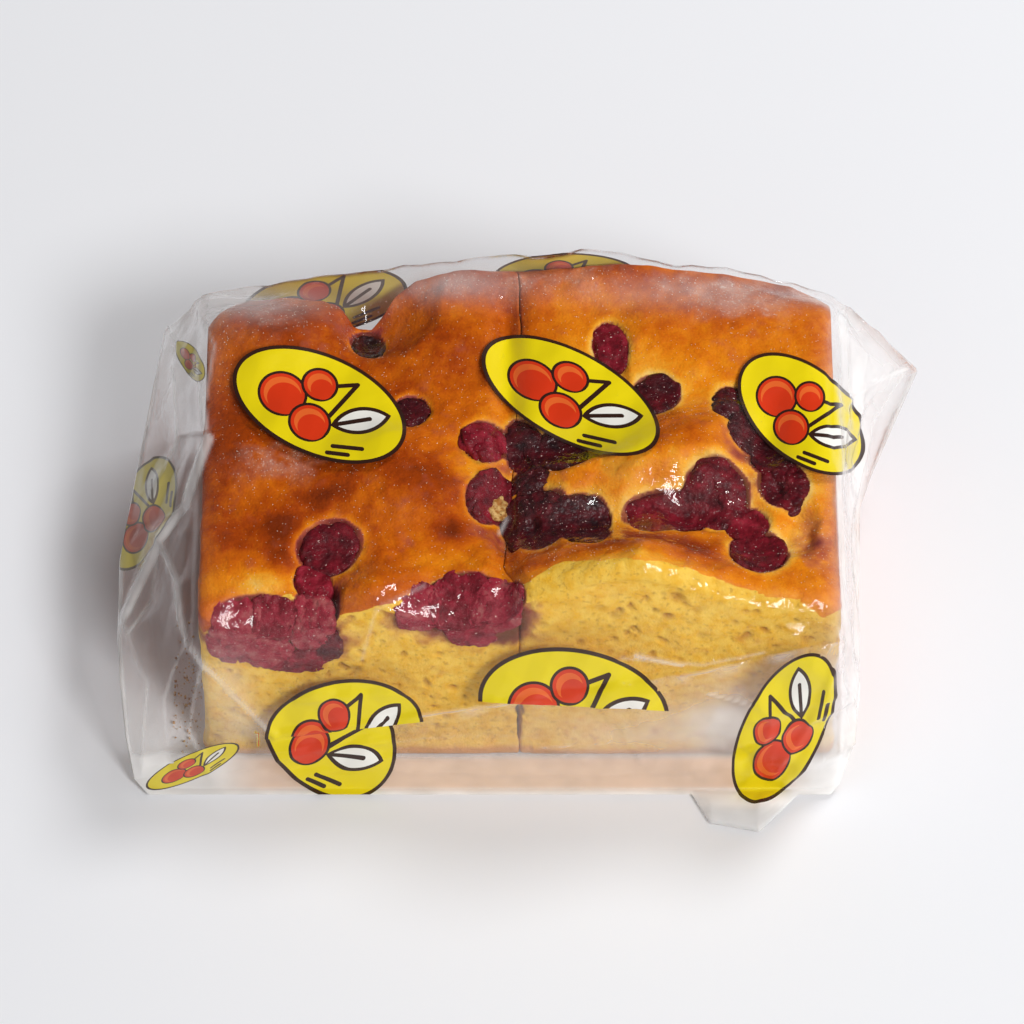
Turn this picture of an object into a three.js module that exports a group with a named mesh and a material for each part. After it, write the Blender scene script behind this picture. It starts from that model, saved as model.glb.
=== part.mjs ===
import * as THREE from 'three';

// A clear film bag lying on a table, drawn over two slices of sour cherry sheet pie that stand
// side by side. Millimetres, +Z up, -Y towards the cut faces of the slices. The shape is worked
// out around the middle of the slices and set down with the middle of its box at the origin.

// The block of the two slices, under the film
const SLICES_LEFT = -64;
const SLICES_RIGHT = 66.5;
const FRONT_EDGE_Y = -42.5;
const BACK_FOLD_Y = 44.5;
const CROWN_FRONT = 45.5;
const CROWN_LEAN = 1.5;
const CROWN_BACK_RISE = 4.5;
const SHOULDER_RADIUS = 7;
const SHOULDER_DROP = 4;

// Humps of the risen crust: middle, reach across and along, rise
const CRUST_HUMPS = {
  frontBand: { x: 22, y: -37, across: 22, along: 11, rise: 12 },
  roundHump: { x: 36, y: -2, across: 12, along: 9, rise: 6 },
  backRight: { x: 30, y: 28, across: 24, along: 14, rise: 3 },
  backLeft: { x: -47, y: 28, across: 13, along: 9, rise: 3.5 },
  backMiddle: { x: -13, y: 30, across: 13, along: 12, rise: 2.5 },
  leftMiddle: { x: -24, y: -8, across: 15, along: 14, rise: 4.5 },
  leftEdge: { x: -52, y: -5, across: 12, along: 22, rise: 2 },
  frontLeft: { x: -28, y: -36, across: 9, along: 7, rise: 2.5 },
  seamBand: { x: 20, y: -9, across: 14, along: 6, rise: 4 },
};

// Hollows where cherries sank in: middle, reach across and along, depth under the crust
const CHERRY_HOLLOWS = {
  besideSeam: { x: 6, y: -1, across: 9, along: 5, depth: 8 },
  atCrumb: { x: -4, y: -15, across: 5, along: 6, depth: 6 },
  glossyPair: { x: 10.6, y: -21, across: 10, along: 6, depth: 7 },
  middleRow: { x: 35, y: -17, across: 14, along: 5, depth: 7 },
  rightRow: { x: 50, y: 0, across: 6, along: 13, depth: 7 },
  rightFront: { x: 48.5, y: -28, across: 7, along: 7, depth: 7 },
  leftDeep: { x: -36, y: -30, across: 7, along: 7, depth: 7 },
  leftSmall: { x: -20, y: 7, across: 4.5, along: 4.5, depth: 5 },
  backNotch: { x: -29, y: 31, across: 5, along: 7, depth: 10 },
  backRight: { x: 20, y: 24, across: 5, along: 6, depth: 5 },
  backRightLow: { x: 28, y: 11, across: 6, along: 5, depth: 5 },
  frontLeftCut: { x: -48, y: -42, across: 12, along: 6, depth: 8 },
  frontMiddleCut: { x: -10, y: -42, across: 11, along: 6, depth: 8 },
};

// The film bridges the hollows and the seam between the slices, and sags a little into them
const FILM_SAG = 0.6;
const SEAM_X = -1;
const SEAM_REACH = 3.2;
const SEAM_DIP = 2.6;

// Cherries that lift the film inside their hollows: middle, radius, rise
const CHERRY_RISE = 2.4;
const CHERRIES = [
  { x: -36, y: -30, radius: 6.5 },
  { x: -20, y: 7, radius: 3.6 },
  { x: -5, y: 0, radius: 5 },
  { x: 7, y: -2, radius: 5.5 },
  { x: 10.6, y: -21, radius: 8 },
  { x: 28.5, y: -18, radius: 5.5 },
  { x: 41, y: -15, radius: 6 },
  { x: 48.5, y: -29, radius: 6.5 },
  { x: 46, y: 6, radius: 5.5 },
  { x: 53.5, y: -9, radius: 6 },
  { x: 20, y: 24, radius: 4.5 },
  { x: 28, y: 11, radius: 5 },
];

// Fold lines of the film along the bag, each as stations of place across and value
const BACK_FOLD_Z = [[-66, 43], [-23, 52], [14, 57], [26, 54.5], [57, 48], [66.5, 42]];
const BACK_BLEND_START_Y = 33;
const BACK_LINE_Y = 46.6;
const BACK_LINE_Z = [[-72, 31], [-64, 20], [0, 15], [60, 22], [72, 37]];
const PLEAT_Y = -47.5;
const PLEAT_Z = [[-75, 4], [-48, 9.5], [-16, 18], [28, 29], [64, 41], [72, 36]];
const PLEAT_STEP = 1.1;
const CREASE_Z = 0.8;
const CREASE_Y = -53.3;
const LOWER_FRONT_SWEEP = 1.25;
const UPPER_FRONT_BOW = 0.8;

// The loose end of the film that lies on the table in front, as the reach past the front crease
const TAIL_LENGTH = 9.6;
const TAIL_REACH = [[36.5, 0], [40, 7.4], [45, 8.4], [52, TAIL_LENGTH], [58, 4.6], [63, 0]];
const TAIL_ROOT_Y = CREASE_Y + 1.5;
const TAIL_LIFT = 1.6;

// Side folds of the bag, as stations of place along and the fold's place across and height
const LEFT_FOLD = [
  [-53.3, -73.6, 0.8], [-50, -76.6, 1.6], [-45, -78.2, 9], [-38, -79.2, 18], [-30, -79.8, 22],
  [-10, -80, 23], [18, -76, 28], [44, -72.2, 32.6], [46.6, -71.6, 31],
];
const RIGHT_FOLD = [
  [-53.3, 64.4, 0.8], [-51, 66.4, 1.5], [-46, 69.2, 8], [-38, 70.4, 14.5], [-18, 70.6, 19.5],
  [6, 71.6, 20.5], [14, 74.2, 21.5], [27, 79.6, 24], [38, 84.4, 26.8], [41.5, 77, 33],
  [44.5, 70.6, 38.4], [46.6, 69.2, 37],
];
const LEFT_DRAPE = 1.15;
const RIGHT_DRAPE = 1.5;

// The right front corner is drawn in: least room beside the side fold, and where that starts
const SIDE_ROOM = 4;
const DRAW_START_X = 44;

// Where the bag touches the table below its side folds, as stations of place along and place
// across, and below its front and back lines, as a share of their distance from the middle
const LEFT_FOOT = [[-53.3, -73], [-45, -71.5], [-30, -69.5], [44, -67.5]];
const RIGHT_FOOT = [[-53.3, 63.8], [-45, 66.8], [-30, 67.6], [44, 66.8]];
const FRONT_FOOT_SHARE = 0.985;
const BACK_FOOT_SHARE = 0.957;

// The film under the folds comes down in two stretches. The first covers this share of the way,
// and under the loose corner at the right rear it runs back in towards the slices
const UNDER_SHARE = 0.3;
const CORNER_ROOT_X = 71.5;
const CORNER_DRAW = 0.85;

// Point of the flat base that sees its whole outline, the tail included
const BASE_HUB = [45, -10];

// Creases of the film: direction, distance between creases, height and shift
const CREASES = [
  { x: 0.80, y: 0.35, z: 0.48, spacing: 17, height: 0.9, shift: 0.13 },
  { x: -0.45, y: 0.72, z: 0.53, spacing: 13, height: 0.7, shift: 0.57 },
  { x: 0.28, y: -0.60, z: 0.75, spacing: 9.5, height: 0.5, shift: 0.31 },
  { x: 0.94, y: -0.22, z: -0.25, spacing: 7, height: 0.35, shift: 0.79 },
];
const CREASE_ON_CRUST = 0.25;
const CREASE_UPRIGHT = 0.5;
const CREASE_FADE_Z = 8;

// Faces of the surface
const LEFT_COLUMNS = 7;
const BODY_COLUMNS = 52;
const RIGHT_COLUMNS = 8;
const TAIL_ROWS = 3;
const LOWER_FRONT_ROWS = 6;
const UPPER_FRONT_ROWS = 7;
const TOP_ROWS = 40;
const BACK_ROWS = 4;

const FILM_COLOUR = 0xd9a860;
const FILM_ROUGHNESS = 0.3;

const { clamp, lerp, smoothstep } = THREE.MathUtils;

// Value at place t on a run of straight stretches between stations; column picks the value
function onStations(stations, t, column = 1) {
  const last = stations.length - 1;
  if (t <= stations[0][0]) return stations[0][column];
  for (let i = 0; i < last; i++) {
    const [start, end] = [stations[i], stations[i + 1]];
    if (t <= end[0]) {
      const share = (t - start[0]) / (end[0] - start[0]);
      return lerp(start[column], end[column], share);
    }
  }
  return stations[last][column];
}

// Round bump of height 1 at the middle, falling off as exp(-r^2) with its reach each way
function mound(x, y, { x: middleX, y: middleY, across, along }) {
  const rx = (x - middleX) / across;
  const ry = (y - middleY) / along;
  return Math.exp(-rx * rx - ry * ry);
}

// Drop of a rounded shoulder, a quarter of an ellipse, at a distance in from an edge
function shoulderDrop(distance) {
  const q = 1 - clamp(distance / SHOULDER_RADIUS, 0, 1);
  return SHOULDER_DROP * (1 - Math.sqrt(1 - q * q));
}

// Height of the film over the crust: a leaning crown, the humps, the film's sag over the
// hollows and the seam, the cherries, and rounded shoulders
function crownHeight(x, y) {
  const back = clamp((y - FRONT_EDGE_Y) / (BACK_FOLD_Y - FRONT_EDGE_Y), 0, 1);
  let z = CROWN_FRONT + CROWN_LEAN * x / SLICES_RIGHT + CROWN_BACK_RISE * back;
  for (const hump of Object.values(CRUST_HUMPS)) z += hump.rise * mound(x, y, hump);
  for (const hollow of Object.values(CHERRY_HOLLOWS)) {
    z -= FILM_SAG * hollow.depth * mound(x, y, hollow);
  }
  for (const { x: cx, y: cy, radius } of CHERRIES) {
    z += CHERRY_RISE * mound(x, y, { x: cx, y: cy, across: radius, along: radius });
  }
  const fromSeam = (x - SEAM_X) / SEAM_REACH;
  z -= SEAM_DIP * Math.exp(-fromSeam * fromSeam);
  z -= shoulderDrop(y - FRONT_EDGE_Y);
  z -= shoulderDrop(x - SLICES_LEFT);
  z -= shoulderDrop(SLICES_RIGHT - x);
  const lift = smoothstep(y, BACK_BLEND_START_Y, BACK_FOLD_Y);
  return lerp(z, onStations(BACK_FOLD_Z, x), lift);
}

// Front edge of the film where it lies on the table, with the loose tail
function frontCreaseY(x) {
  return CREASE_Y - onStations(TAIL_REACH, x);
}

// Rows of one cross-section, from the front crease up over the slices to the line at the back
function sectionRows(x) {
  const rows = [];
  const creaseY = frontCreaseY(x);
  const pleatZ = onStations(PLEAT_Z, x);
  const edgeZ = crownHeight(x, FRONT_EDGE_Y);
  for (let j = 0; j < TAIL_ROWS; j++) {
    const share = j / TAIL_ROWS;
    const lift = TAIL_LIFT * Math.sin(Math.PI * share) * (CREASE_Y - creaseY) / TAIL_LENGTH;
    rows.push([lerp(creaseY, TAIL_ROOT_Y, share), CREASE_Z + lift]);
  }
  for (let j = 0; j < LOWER_FRONT_ROWS; j++) {
    const share = j / LOWER_FRONT_ROWS;
    const y = lerp(TAIL_ROOT_Y, PLEAT_Y - PLEAT_STEP, share);
    rows.push([y, lerp(CREASE_Z, pleatZ, share ** LOWER_FRONT_SWEEP)]);
  }
  for (let j = 0; j <= UPPER_FRONT_ROWS; j++) {
    const share = j / UPPER_FRONT_ROWS;
    const y = lerp(PLEAT_Y, FRONT_EDGE_Y, share ** UPPER_FRONT_BOW);
    rows.push([y, lerp(pleatZ + PLEAT_STEP, edgeZ, share)]);
  }
  for (let j = 1; j <= TOP_ROWS; j++) {
    const y = lerp(FRONT_EDGE_Y, BACK_FOLD_Y, j / TOP_ROWS);
    rows.push([y, crownHeight(x, y)]);
  }
  const foldZ = onStations(BACK_FOLD_Z, x);
  const lineZ = onStations(BACK_LINE_Z, x);
  for (let j = 1; j <= BACK_ROWS; j++) {
    const share = j / BACK_ROWS;
    rows.push([lerp(BACK_FOLD_Y, BACK_LINE_Y, share), lerp(foldZ, lineZ, share)]);
  }
  return rows;
}

// Height of the creases at a point: triangle waves that cross each other
function creaseHeight(x, y, z) {
  let height = 0;
  for (const crease of CREASES) {
    const turn = (crease.x * x + crease.y * y + crease.z * z) / crease.spacing + crease.shift;
    height += crease.height * (4 * Math.abs(turn - Math.round(turn)) - 1);
  }
  return height;
}

// Place across of a column at place y, moved in where the right side fold leaves too little room
function drawnX(x, y) {
  const lack = Math.max(0, SLICES_RIGHT + SIDE_ROOM - onStations(RIGHT_FOLD, y));
  return x - lack * Math.max(0, (x - DRAW_START_X) / (SLICES_RIGHT - DRAW_START_X));
}

// One column of the upper surface between a side fold and the slices' end. share runs from 0 on
// the fold to 1 at the slices
function sideColumn(endX, fold, share, drape) {
  return sectionRows(endX).map(([y, z]) => {
    const foldX = onStations(fold, y, 1);
    const foldZ = onStations(fold, y, 2);
    return [lerp(foldX, drawnX(endX, y), share), y, lerp(foldZ, z, share ** drape)];
  });
}

// All columns of the upper surface, from the left fold over the slices to the right fold
function upperColumns() {
  const columns = [];
  for (let i = 0; i < LEFT_COLUMNS; i++) {
    columns.push(sideColumn(SLICES_LEFT, LEFT_FOLD, i / LEFT_COLUMNS, LEFT_DRAPE));
  }
  for (let i = 0; i <= BODY_COLUMNS; i++) {
    const x = lerp(SLICES_LEFT, SLICES_RIGHT, i / BODY_COLUMNS);
    columns.push(sectionRows(x).map(([y, z]) => [drawnX(x, y), y, z]));
  }
  for (let i = RIGHT_COLUMNS - 1; i >= 0; i--) {
    columns.push(sideColumn(SLICES_RIGHT, RIGHT_FOLD, i / RIGHT_COLUMNS, RIGHT_DRAPE));
  }
  return columns;
}

// Creases are full on the free film, slight where the film lies on the crust, and none on the
// outline, so that the folds stay straight
function addCreases(columns) {
  const lastColumn = columns.length - 1;
  const firstTopRow = TAIL_ROWS + LOWER_FRONT_ROWS + UPPER_FRONT_ROWS;
  return columns.map((column, i) => column.map(([x, y, z], j) => {
    const lastRow = column.length - 1;
    if (i === 0 || j === 0 || i === lastColumn || j === lastRow) return [x, y, z];
    const overCrust = x > SLICES_LEFT && x < SLICES_RIGHT && j > firstTopRow && y < BACK_FOLD_Y;
    const height = creaseHeight(x, y, z) * (overCrust ? CREASE_ON_CRUST : 1);
    const upright = j <= firstTopRow || y >= BACK_FOLD_Y;
    const low = clamp((z - CREASE_Z) / CREASE_FADE_Z, 0, 1);
    return upright ? [x, y + height * low * CREASE_UPRIGHT, z] : [x, y, z + height * low];
  }));
}

// The outline of the upper surface, once round: along the front, up the right fold, back along
// the back line and down the left fold
function outlineOrder(columnCount, rowCount) {
  const order = [];
  for (let i = 0; i < columnCount - 1; i++) order.push(i * rowCount);
  for (let j = 0; j < rowCount - 1; j++) order.push((columnCount - 1) * rowCount + j);
  for (let i = columnCount - 1; i > 0; i--) order.push(i * rowCount + rowCount - 1);
  for (let j = rowCount - 1; j > 0; j--) order.push(j);
  return order;
}

// Where a point of the outline comes down to the table: drawn in by the same share as the side
// fold, the front or the back beside it
function footOf([x, y]) {
  const [foot, fold] = x < 0 ? [LEFT_FOOT, LEFT_FOLD] : [RIGHT_FOOT, RIGHT_FOLD];
  const acrossShare = onStations(foot, y) / onStations(fold, y);
  return [x * acrossShare, y * (y < 0 ? FRONT_FOOT_SHARE : BACK_FOOT_SHARE), 0];
}

// End of the first stretch under a point of the outline
function underFold([x, y, z]) {
  const [footX, footY] = footOf([x, y]);
  const drawnIn = x - CORNER_DRAW * Math.max(0, x - CORNER_ROOT_X);
  return [
    lerp(drawnIn, footX, UNDER_SHARE),
    lerp(y, footY, UNDER_SHARE),
    lerp(z, 0, UNDER_SHARE),
  ];
}

// The whole closed surface: the upper film, the film that turns under, and the flat base
function bagGeometry() {
  const columns = addCreases(upperColumns());
  const rowCount = columns[0].length;
  const points = columns.flat();
  const faces = [];
  for (let i = 0; i < columns.length - 1; i++) {
    for (let j = 0; j < rowCount - 1; j++) {
      const near = i * rowCount + j;
      const right = near + rowCount;
      faces.push([near, right, right + 1], [near, right + 1, near + 1]);
    }
  }
  const outline = outlineOrder(columns.length, rowCount);
  const count = outline.length;
  const firstUnder = points.length;
  const firstFoot = firstUnder + count;
  for (const index of outline) points.push(underFold(points[index]));
  for (const index of outline) points.push(footOf(points[index]));
  const hub = points.length;
  points.push([...BASE_HUB, 0]);
  outline.forEach((here, k) => {
    const next = (k + 1) % count;
    const [under, underNext] = [firstUnder + k, firstUnder + next];
    const [foot, footNext] = [firstFoot + k, firstFoot + next];
    faces.push([here, under, underNext], [here, underNext, outline[next]]);
    faces.push([under, foot, footNext], [under, footNext, underNext]);
    faces.push([foot, hub, footNext]);
  });
  const geometry = new THREE.BufferGeometry();
  geometry.setAttribute('position', new THREE.Float32BufferAttribute(points.flat(), 3));
  geometry.setIndex(faces.flat());
  return geometry;
}

// Sets the middle of the box over the origin and the base on the table
function centreOnBase(geometry) {
  geometry.computeBoundingBox();
  const { min, max } = geometry.boundingBox;
  geometry.translate(-(min.x + max.x) / 2, -(min.y + max.y) / 2, -min.z);
  geometry.computeVertexNormals();
  return geometry;
}

const film = new THREE.MeshStandardMaterial({
  name: 'clear_film',
  color: FILM_COLOUR,
  roughness: FILM_ROUGHNESS,
  metalness: 0,
});
const bag = new THREE.Mesh(centreOnBase(bagGeometry()), film);
bag.name = 'bag';

const pack = new THREE.Group();
pack.add(bag);

export default pack;
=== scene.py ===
import math

import bpy
import numpy as np
from mathutils import Matrix, Vector


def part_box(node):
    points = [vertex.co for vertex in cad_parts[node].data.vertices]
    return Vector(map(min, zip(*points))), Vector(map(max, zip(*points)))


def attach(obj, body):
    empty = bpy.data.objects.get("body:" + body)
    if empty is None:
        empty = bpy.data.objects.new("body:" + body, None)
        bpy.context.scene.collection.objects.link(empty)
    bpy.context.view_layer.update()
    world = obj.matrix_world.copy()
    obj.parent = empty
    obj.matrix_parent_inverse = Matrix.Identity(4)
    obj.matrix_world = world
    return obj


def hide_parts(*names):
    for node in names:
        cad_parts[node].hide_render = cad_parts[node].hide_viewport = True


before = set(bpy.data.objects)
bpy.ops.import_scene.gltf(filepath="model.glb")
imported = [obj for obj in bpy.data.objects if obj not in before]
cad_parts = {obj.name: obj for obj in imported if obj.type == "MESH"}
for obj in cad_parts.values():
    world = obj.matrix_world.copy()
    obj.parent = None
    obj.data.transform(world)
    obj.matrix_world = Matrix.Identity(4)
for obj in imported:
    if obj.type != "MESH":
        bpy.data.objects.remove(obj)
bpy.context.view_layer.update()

# Two slices of sour cherry sheet pie in a clear printed film bag. Shapes are worked out in
# millimetres around the middle of the slices, as the solid is, and set down over its box.
MM = 0.001

# ---------------------------------------------------------------- the bag, as the solid has it
SLICES_LEFT = -64
SLICES_RIGHT = 66.5
FRONT_EDGE_Y = -42.5
BACK_FOLD_Y = 44.5
CROWN_FRONT = 45.5
CROWN_LEAN = 1.5
CROWN_BACK_RISE = 4.5
SHOULDER_RADIUS = 7
SHOULDER_DROP = 4

# Humps of the risen crust: middle x, y, reach across and along, rise
CRUST_HUMPS = {
    "front band": (22, -37, 22, 11, 12),
    "round hump": (36, -2, 12, 9, 6),
    "back right": (30, 28, 24, 14, 3),
    "back left": (-47, 28, 13, 9, 3.5),
    "back middle": (-13, 30, 13, 12, 2.5),
    "left middle": (-24, -8, 15, 14, 4.5),
    "left edge": (-52, -5, 12, 22, 2),
    "front left": (-28, -36, 9, 7, 2.5),
    "seam band": (20, -9, 14, 6, 4),
}

# Hollows that the film bridges: middle x, y, reach across and along, depth under the crust
FILM_HOLLOWS = {
    "beside seam": (6, -1, 9, 5, 8),
    "at crumb": (-4, -15, 5, 6, 6),
    "glossy pair": (10.6, -21, 10, 6, 7),
    "middle row": (35, -17, 14, 5, 7),
    "right row": (50, 0, 6, 13, 7),
    "right front": (48.5, -28, 7, 7, 7),
    "left deep": (-36, -30, 7, 7, 7),
    "left small": (-20, 7, 4.5, 4.5, 5),
    "back notch": (-29, 31, 5, 7, 10),
    "back right": (20, 24, 5, 6, 5),
    "back right low": (28, 11, 6, 5, 5),
    "front left cut": (-48, -42, 12, 6, 8),
    "front middle cut": (-10, -42, 11, 6, 8),
}
FILM_SAG = 0.6
SEAM_X = -1
SEAM_REACH = 3.2
SEAM_DIP = 2.6

# Places where cherries lift the film: middle x, y, radius
FILM_LIFTS = [
    (-36, -30, 6.5), (-20, 7, 3.6), (-5, 0, 5), (7, -2, 5.5), (10.6, -21, 8), (28.5, -18, 5.5),
    (41, -15, 6), (48.5, -29, 6.5), (46, 6, 5.5), (53.5, -9, 6), (20, 24, 4.5), (28, 11, 5),
]
CHERRY_RISE = 2.4

# Fold lines of the film along the bag, as stations of place across and value
BACK_FOLD_Z = [(-66, 43), (-23, 52), (14, 57), (26, 54.5), (57, 48), (66.5, 42)]
BACK_BLEND_START_Y = 33
BACK_LINE_Y = 46.6
BACK_LINE_Z = [(-72, 31), (-64, 20), (0, 15), (60, 22), (72, 37)]
PLEAT_Y = -47.5
PLEAT_Z = [(-75, 4), (-48, 9.5), (-16, 18), (28, 29), (64, 41), (72, 36)]
PLEAT_STEP = 1.1
CREASE_Z = 0.8
CREASE_Y = -53.3
LOWER_FRONT_SWEEP = 1.25
UPPER_FRONT_BOW = 0.8
TAIL_LENGTH = 9.6
TAIL_REACH = [(36.5, 0), (40, 7.4), (45, 8.4), (52, TAIL_LENGTH), (58, 4.6), (63, 0)]
TAIL_ROOT_Y = CREASE_Y + 1.5
TAIL_LIFT = 1.6

# Side folds of the bag: place along, the fold's place across, its height
LEFT_FOLD = [
    (-53.3, -73.6, 0.8), (-50, -76.6, 1.6), (-45, -78.2, 9), (-38, -79.2, 18), (-30, -79.8, 22),
    (-10, -80, 23), (18, -76, 28), (44, -72.2, 32.6), (46.6, -71.6, 31),
]
RIGHT_FOLD = [
    (-53.3, 64.4, 0.8), (-51, 66.4, 1.5), (-46, 69.2, 8), (-38, 70.4, 14.5), (-18, 70.6, 19.5),
    (6, 71.6, 20.5), (14, 74.2, 21.5), (27, 79.6, 24), (38, 84.4, 26.8), (41.5, 77, 33),
    (44.5, 70.6, 38.4), (46.6, 69.2, 37),
]
LEFT_DRAPE = 1.15
RIGHT_DRAPE = 1.5
SIDE_ROOM = 4
DRAW_START_X = 44
LEFT_FOOT = [(-53.3, -73), (-45, -71.5), (-30, -69.5), (44, -67.5)]
RIGHT_FOOT = [(-53.3, 63.8), (-45, 66.8), (-30, 67.6), (44, 66.8)]
FRONT_FOOT_SHARE = 0.985
BACK_FOOT_SHARE = 0.957
UNDER_SHARE = 0.3
CORNER_ROOT_X = 71.5
CORNER_DRAW = 0.85

# Creases of the film: direction, distance between creases, height and shift
CREASES = [
    ((0.80, 0.35, 0.48), 17, 0.9, 0.13),
    ((-0.45, 0.72, 0.53), 13, 0.7, 0.57),
    ((0.28, -0.60, 0.75), 9.5, 0.5, 0.31),
    ((0.94, -0.22, -0.25), 7, 0.35, 0.79),
]
CREASE_ON_CRUST = 0.25
CREASE_UPRIGHT = 0.5
CREASE_FADE_Z = 8

# Faces of the film
LEFT_COLUMNS = 46
BODY_COLUMNS = 230
RIGHT_COLUMNS = 50
TAIL_ROWS = 8
LOWER_FRONT_ROWS = 42
UPPER_FRONT_ROWS = 44
TOP_ROWS = 140
BACK_ROWS = 22

# ---------------------------------------------------------------- camera and light
CAMERA_ELEVATION = math.radians(50)
RISE_Y = math.sin(CAMERA_ELEVATION)
RISE_Z = math.cos(CAMERA_ELEVATION)
CAMERA_DISTANCE = 1500
CAMERA_TARGET_Y = 22
PIXELS_PER_MM = 4.78
PHOTO_WIDTH = 1024
SENSOR_WIDTH = 36
CAMERA_FAR_METRES = 20

# ---------------------------------------------------------------- the slices
BASE_Z = 0.5
FILM_GAP = 0.8
CRUST_UNDER_FILM = 1.4
# Left and right ends of each slice
SLICE_SPANS = {"slice_left": (-62.4, -1.16), "slice_right": (-0.94, 65.4)}
SLICE_FRONT_Y = -41.8
SLICE_BACK_Y = 43.6
FRONT_LEAN = 2.2
CELL = 0.52

# Cherries: x, y, half sizes across, along and up, turn, how deep the top lies, tone, stone hole
# The tone runs from 0, black-red, over 0.8, crimson, to 1, milky.
CHERRIES = {
    "left deep": (-36.5, -24.5, 7.0, 6.1, 5.2, 0.35, 0.6, 0.44, False),
    "left deep foot": (-39.9, -32.2, 3.6, 4.0, 3.4, 0.6, 1.2, 0.60, False),
    "left small": (-20.6, 9.5, 4.0, 4.2, 3.6, 0.0, 0.6, 0.20, False),
    "back notch": (-29.6, 29.8, 3.6, 4.0, 4.0, 0.0, 2.2, 0.0, False),
    "seam bright": (-5.3, 2.5, 4.8, 4.8, 4.4, 0.3, 0.7, 0.62, False),
    "at crumb": (-4.6, -11.0, 4.6, 6.0, 4.6, -0.4, 1.7, 0.50, False),
    "beside seam": (2.4, 2.0, 4.2, 6.8, 4.8, 0.2, 1.4, 0.22, True),
    "under motif": (9.4, 0.6, 5.8, 5.2, 4.6, -0.3, 1.4, 0.20, False),
    "below seam pair": (3.4, -7.0, 3.8, 3.6, 4.0, 0.5, 1.4, 0.20, False),
    "glossy left": (5.4, -17.2, 6.8, 7.6, 4.8, 0.15, 0.9, 0.24, True),
    "glossy right": (14.0, -18.6, 6.2, 6.2, 5.4, -0.3, 0.6, 0.16, True),
    "glossy rolled": (15.4, -22.4, 4.6, 3.2, 4.2, -0.05, 0.3, 0.10, False),
    "back right": (20.0, 24.4, 3.7, 6.2, 3.8, 0.15, 0.8, 0.55, False),
    "back right low": (29.2, 12.5, 5.2, 4.8, 4.2, -0.35, 0.8, 0.24, False),
    "middle flat": (30.6, -17.0, 8.8, 5.2, 4.4, 0.1, 0.6, 0.46, False),
    "middle shiny": (41.2, -12.8, 6.8, 7.0, 5.4, 0.4, 0.3, 0.42, True),
    "middle link": (47.4, -19.6, 4.4, 4.4, 4.2, 0.2, 0.7, 0.54, False),
    "right front": (49.4, -27.0, 6.2, 6.4, 5.6, 0.1, 0.5, 0.46, False),
    "right top": (45.3, 10.0, 4.4, 5.0, 4.6, 0.3, 1.0, 0.18, False),
    "right middle": (48.8, 3.4, 4.8, 5.4, 4.8, 0.0, 1.0, 0.24, False),
    "right row": (54.6, -10.0, 5.2, 6.0, 5.2, 0.2, 0.6, 0.36, True),
    "right row upper": (52.6, -3.2, 4.8, 5.2, 4.8, 0.0, 0.8, 0.30, False),
}

# Cherries cut at the front faces: x, y, z, half sizes across, along and up, turn, tone
CUT_CHERRIES = {
    "front left outer": (-55.4, -38.4, 35.8, 6.4, 5.4, 7.4, 0.25, 0.80),
    "front left": (-47.4, -38.0, 39.4, 5.0, 5.4, 5.4, -0.2, 0.62),
    "front left inner": (-39.8, -38.3, 37.2, 5.6, 5.2, 5.8, 0.2, 0.84),
    "front left middle": (-49.0, -38.6, 31.8, 6.4, 5.4, 5.0, 0.1, 0.84),
    "front left low": (-43.0, -38.4, 29.0, 7.6, 5.2, 3.6, -0.05, 0.60),
    "front left corner": (-36.8, -38.2, 33.2, 3.4, 5.0, 4.4, 0.0, 0.40),
    "front middle outer": (-18.6, -38.3, 42.2, 5.4, 5.2, 4.6, 0.3, 0.80),
    "front middle": (-10.4, -37.6, 43.8, 6.8, 6.6, 6.8, -0.1, 0.62),
    "front middle inner": (-3.0, -38.8, 44.6, 5.8, 6.0, 6.8, 0.1, 0.80),
    "front middle low": (-8.2, -38.6, 37.0, 6.2, 5.4, 4.0, 0.0, 0.66),
}

# Valleys of the crust: x, y, reach across and along, depth
VALLEYS = {
    "pale valley": (14.0, -2.0, 9.0, 3.5, 3.0),
    "stain valley": (57.0, -22.0, 5.0, 8.0, 2.6),
    "seam valley": (-1.0, -20.0, 2.6, 9.0, 2.4),
    "behind crest": (21.5, 18.5, 2.6, 4.0, 1.0),
}
# Places where cut cherries show in place of the crust: x, y, reach across and along, depth
TORN_HOLLOWS = {
    "front left": (-50.0, -40.5, 11.0, 6.0, 3.6),
    "front left inner": (-40.0, -39.5, 4.6, 7.0, 4.0),
    "front middle": (-9.5, -39.2, 11.8, 7.8, 3.8),
    "front middle by seam": (-2.0, -39.5, 5.4, 5.4, 3.4),
    "trickle": (-36.5, -37.5, 2.6, 5.5, 3.0),
    "between flat and shiny": (35.0, -18.6, 3.6, 3.4, 3.0),
}

# Smaller lumps of the crust: x, y, reach across and along, rise
CRUST_LUMPS = {
    "back of right": (24.0, 45.0, 36.0, 13.0, 4.4),
    "back of left": (-12.0, 45.0, 13.0, 11.0, 2.6),
    "lip left of deep": (-45.0, -22.0, 4.5, 6.0, 0.9),
    "lip right of deep": (-28.0, -29.0, 4.5, 5.0, 1.3),
    "front left tongue": (-27.5, -35.0, 7.5, 3.6, 1.4),
    "tongue by crumb": (-12.0, -15.0, 6.0, 7.0, 0.8),
    "left back knob": (-46.0, 30.5, 7.0, 5.0, 1.0),
    "lip of notch": (-22.0, 32.0, 4.0, 6.0, 0.8),
    "crest by oval": (20.0, -6.5, 9.0, 2.8, 1.2),
    "knob front of round": (34.0, -7.5, 8.0, 3.4, 0.9),
    "band crest": (26.0, -33.0, 16.0, 4.0, 0.9),
    "band right": (57.0, -36.0, 6.0, 4.0, 1.2),
    "corner front right": (61.5, -38.5, 3.0, 2.6, 0.8),
}

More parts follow.
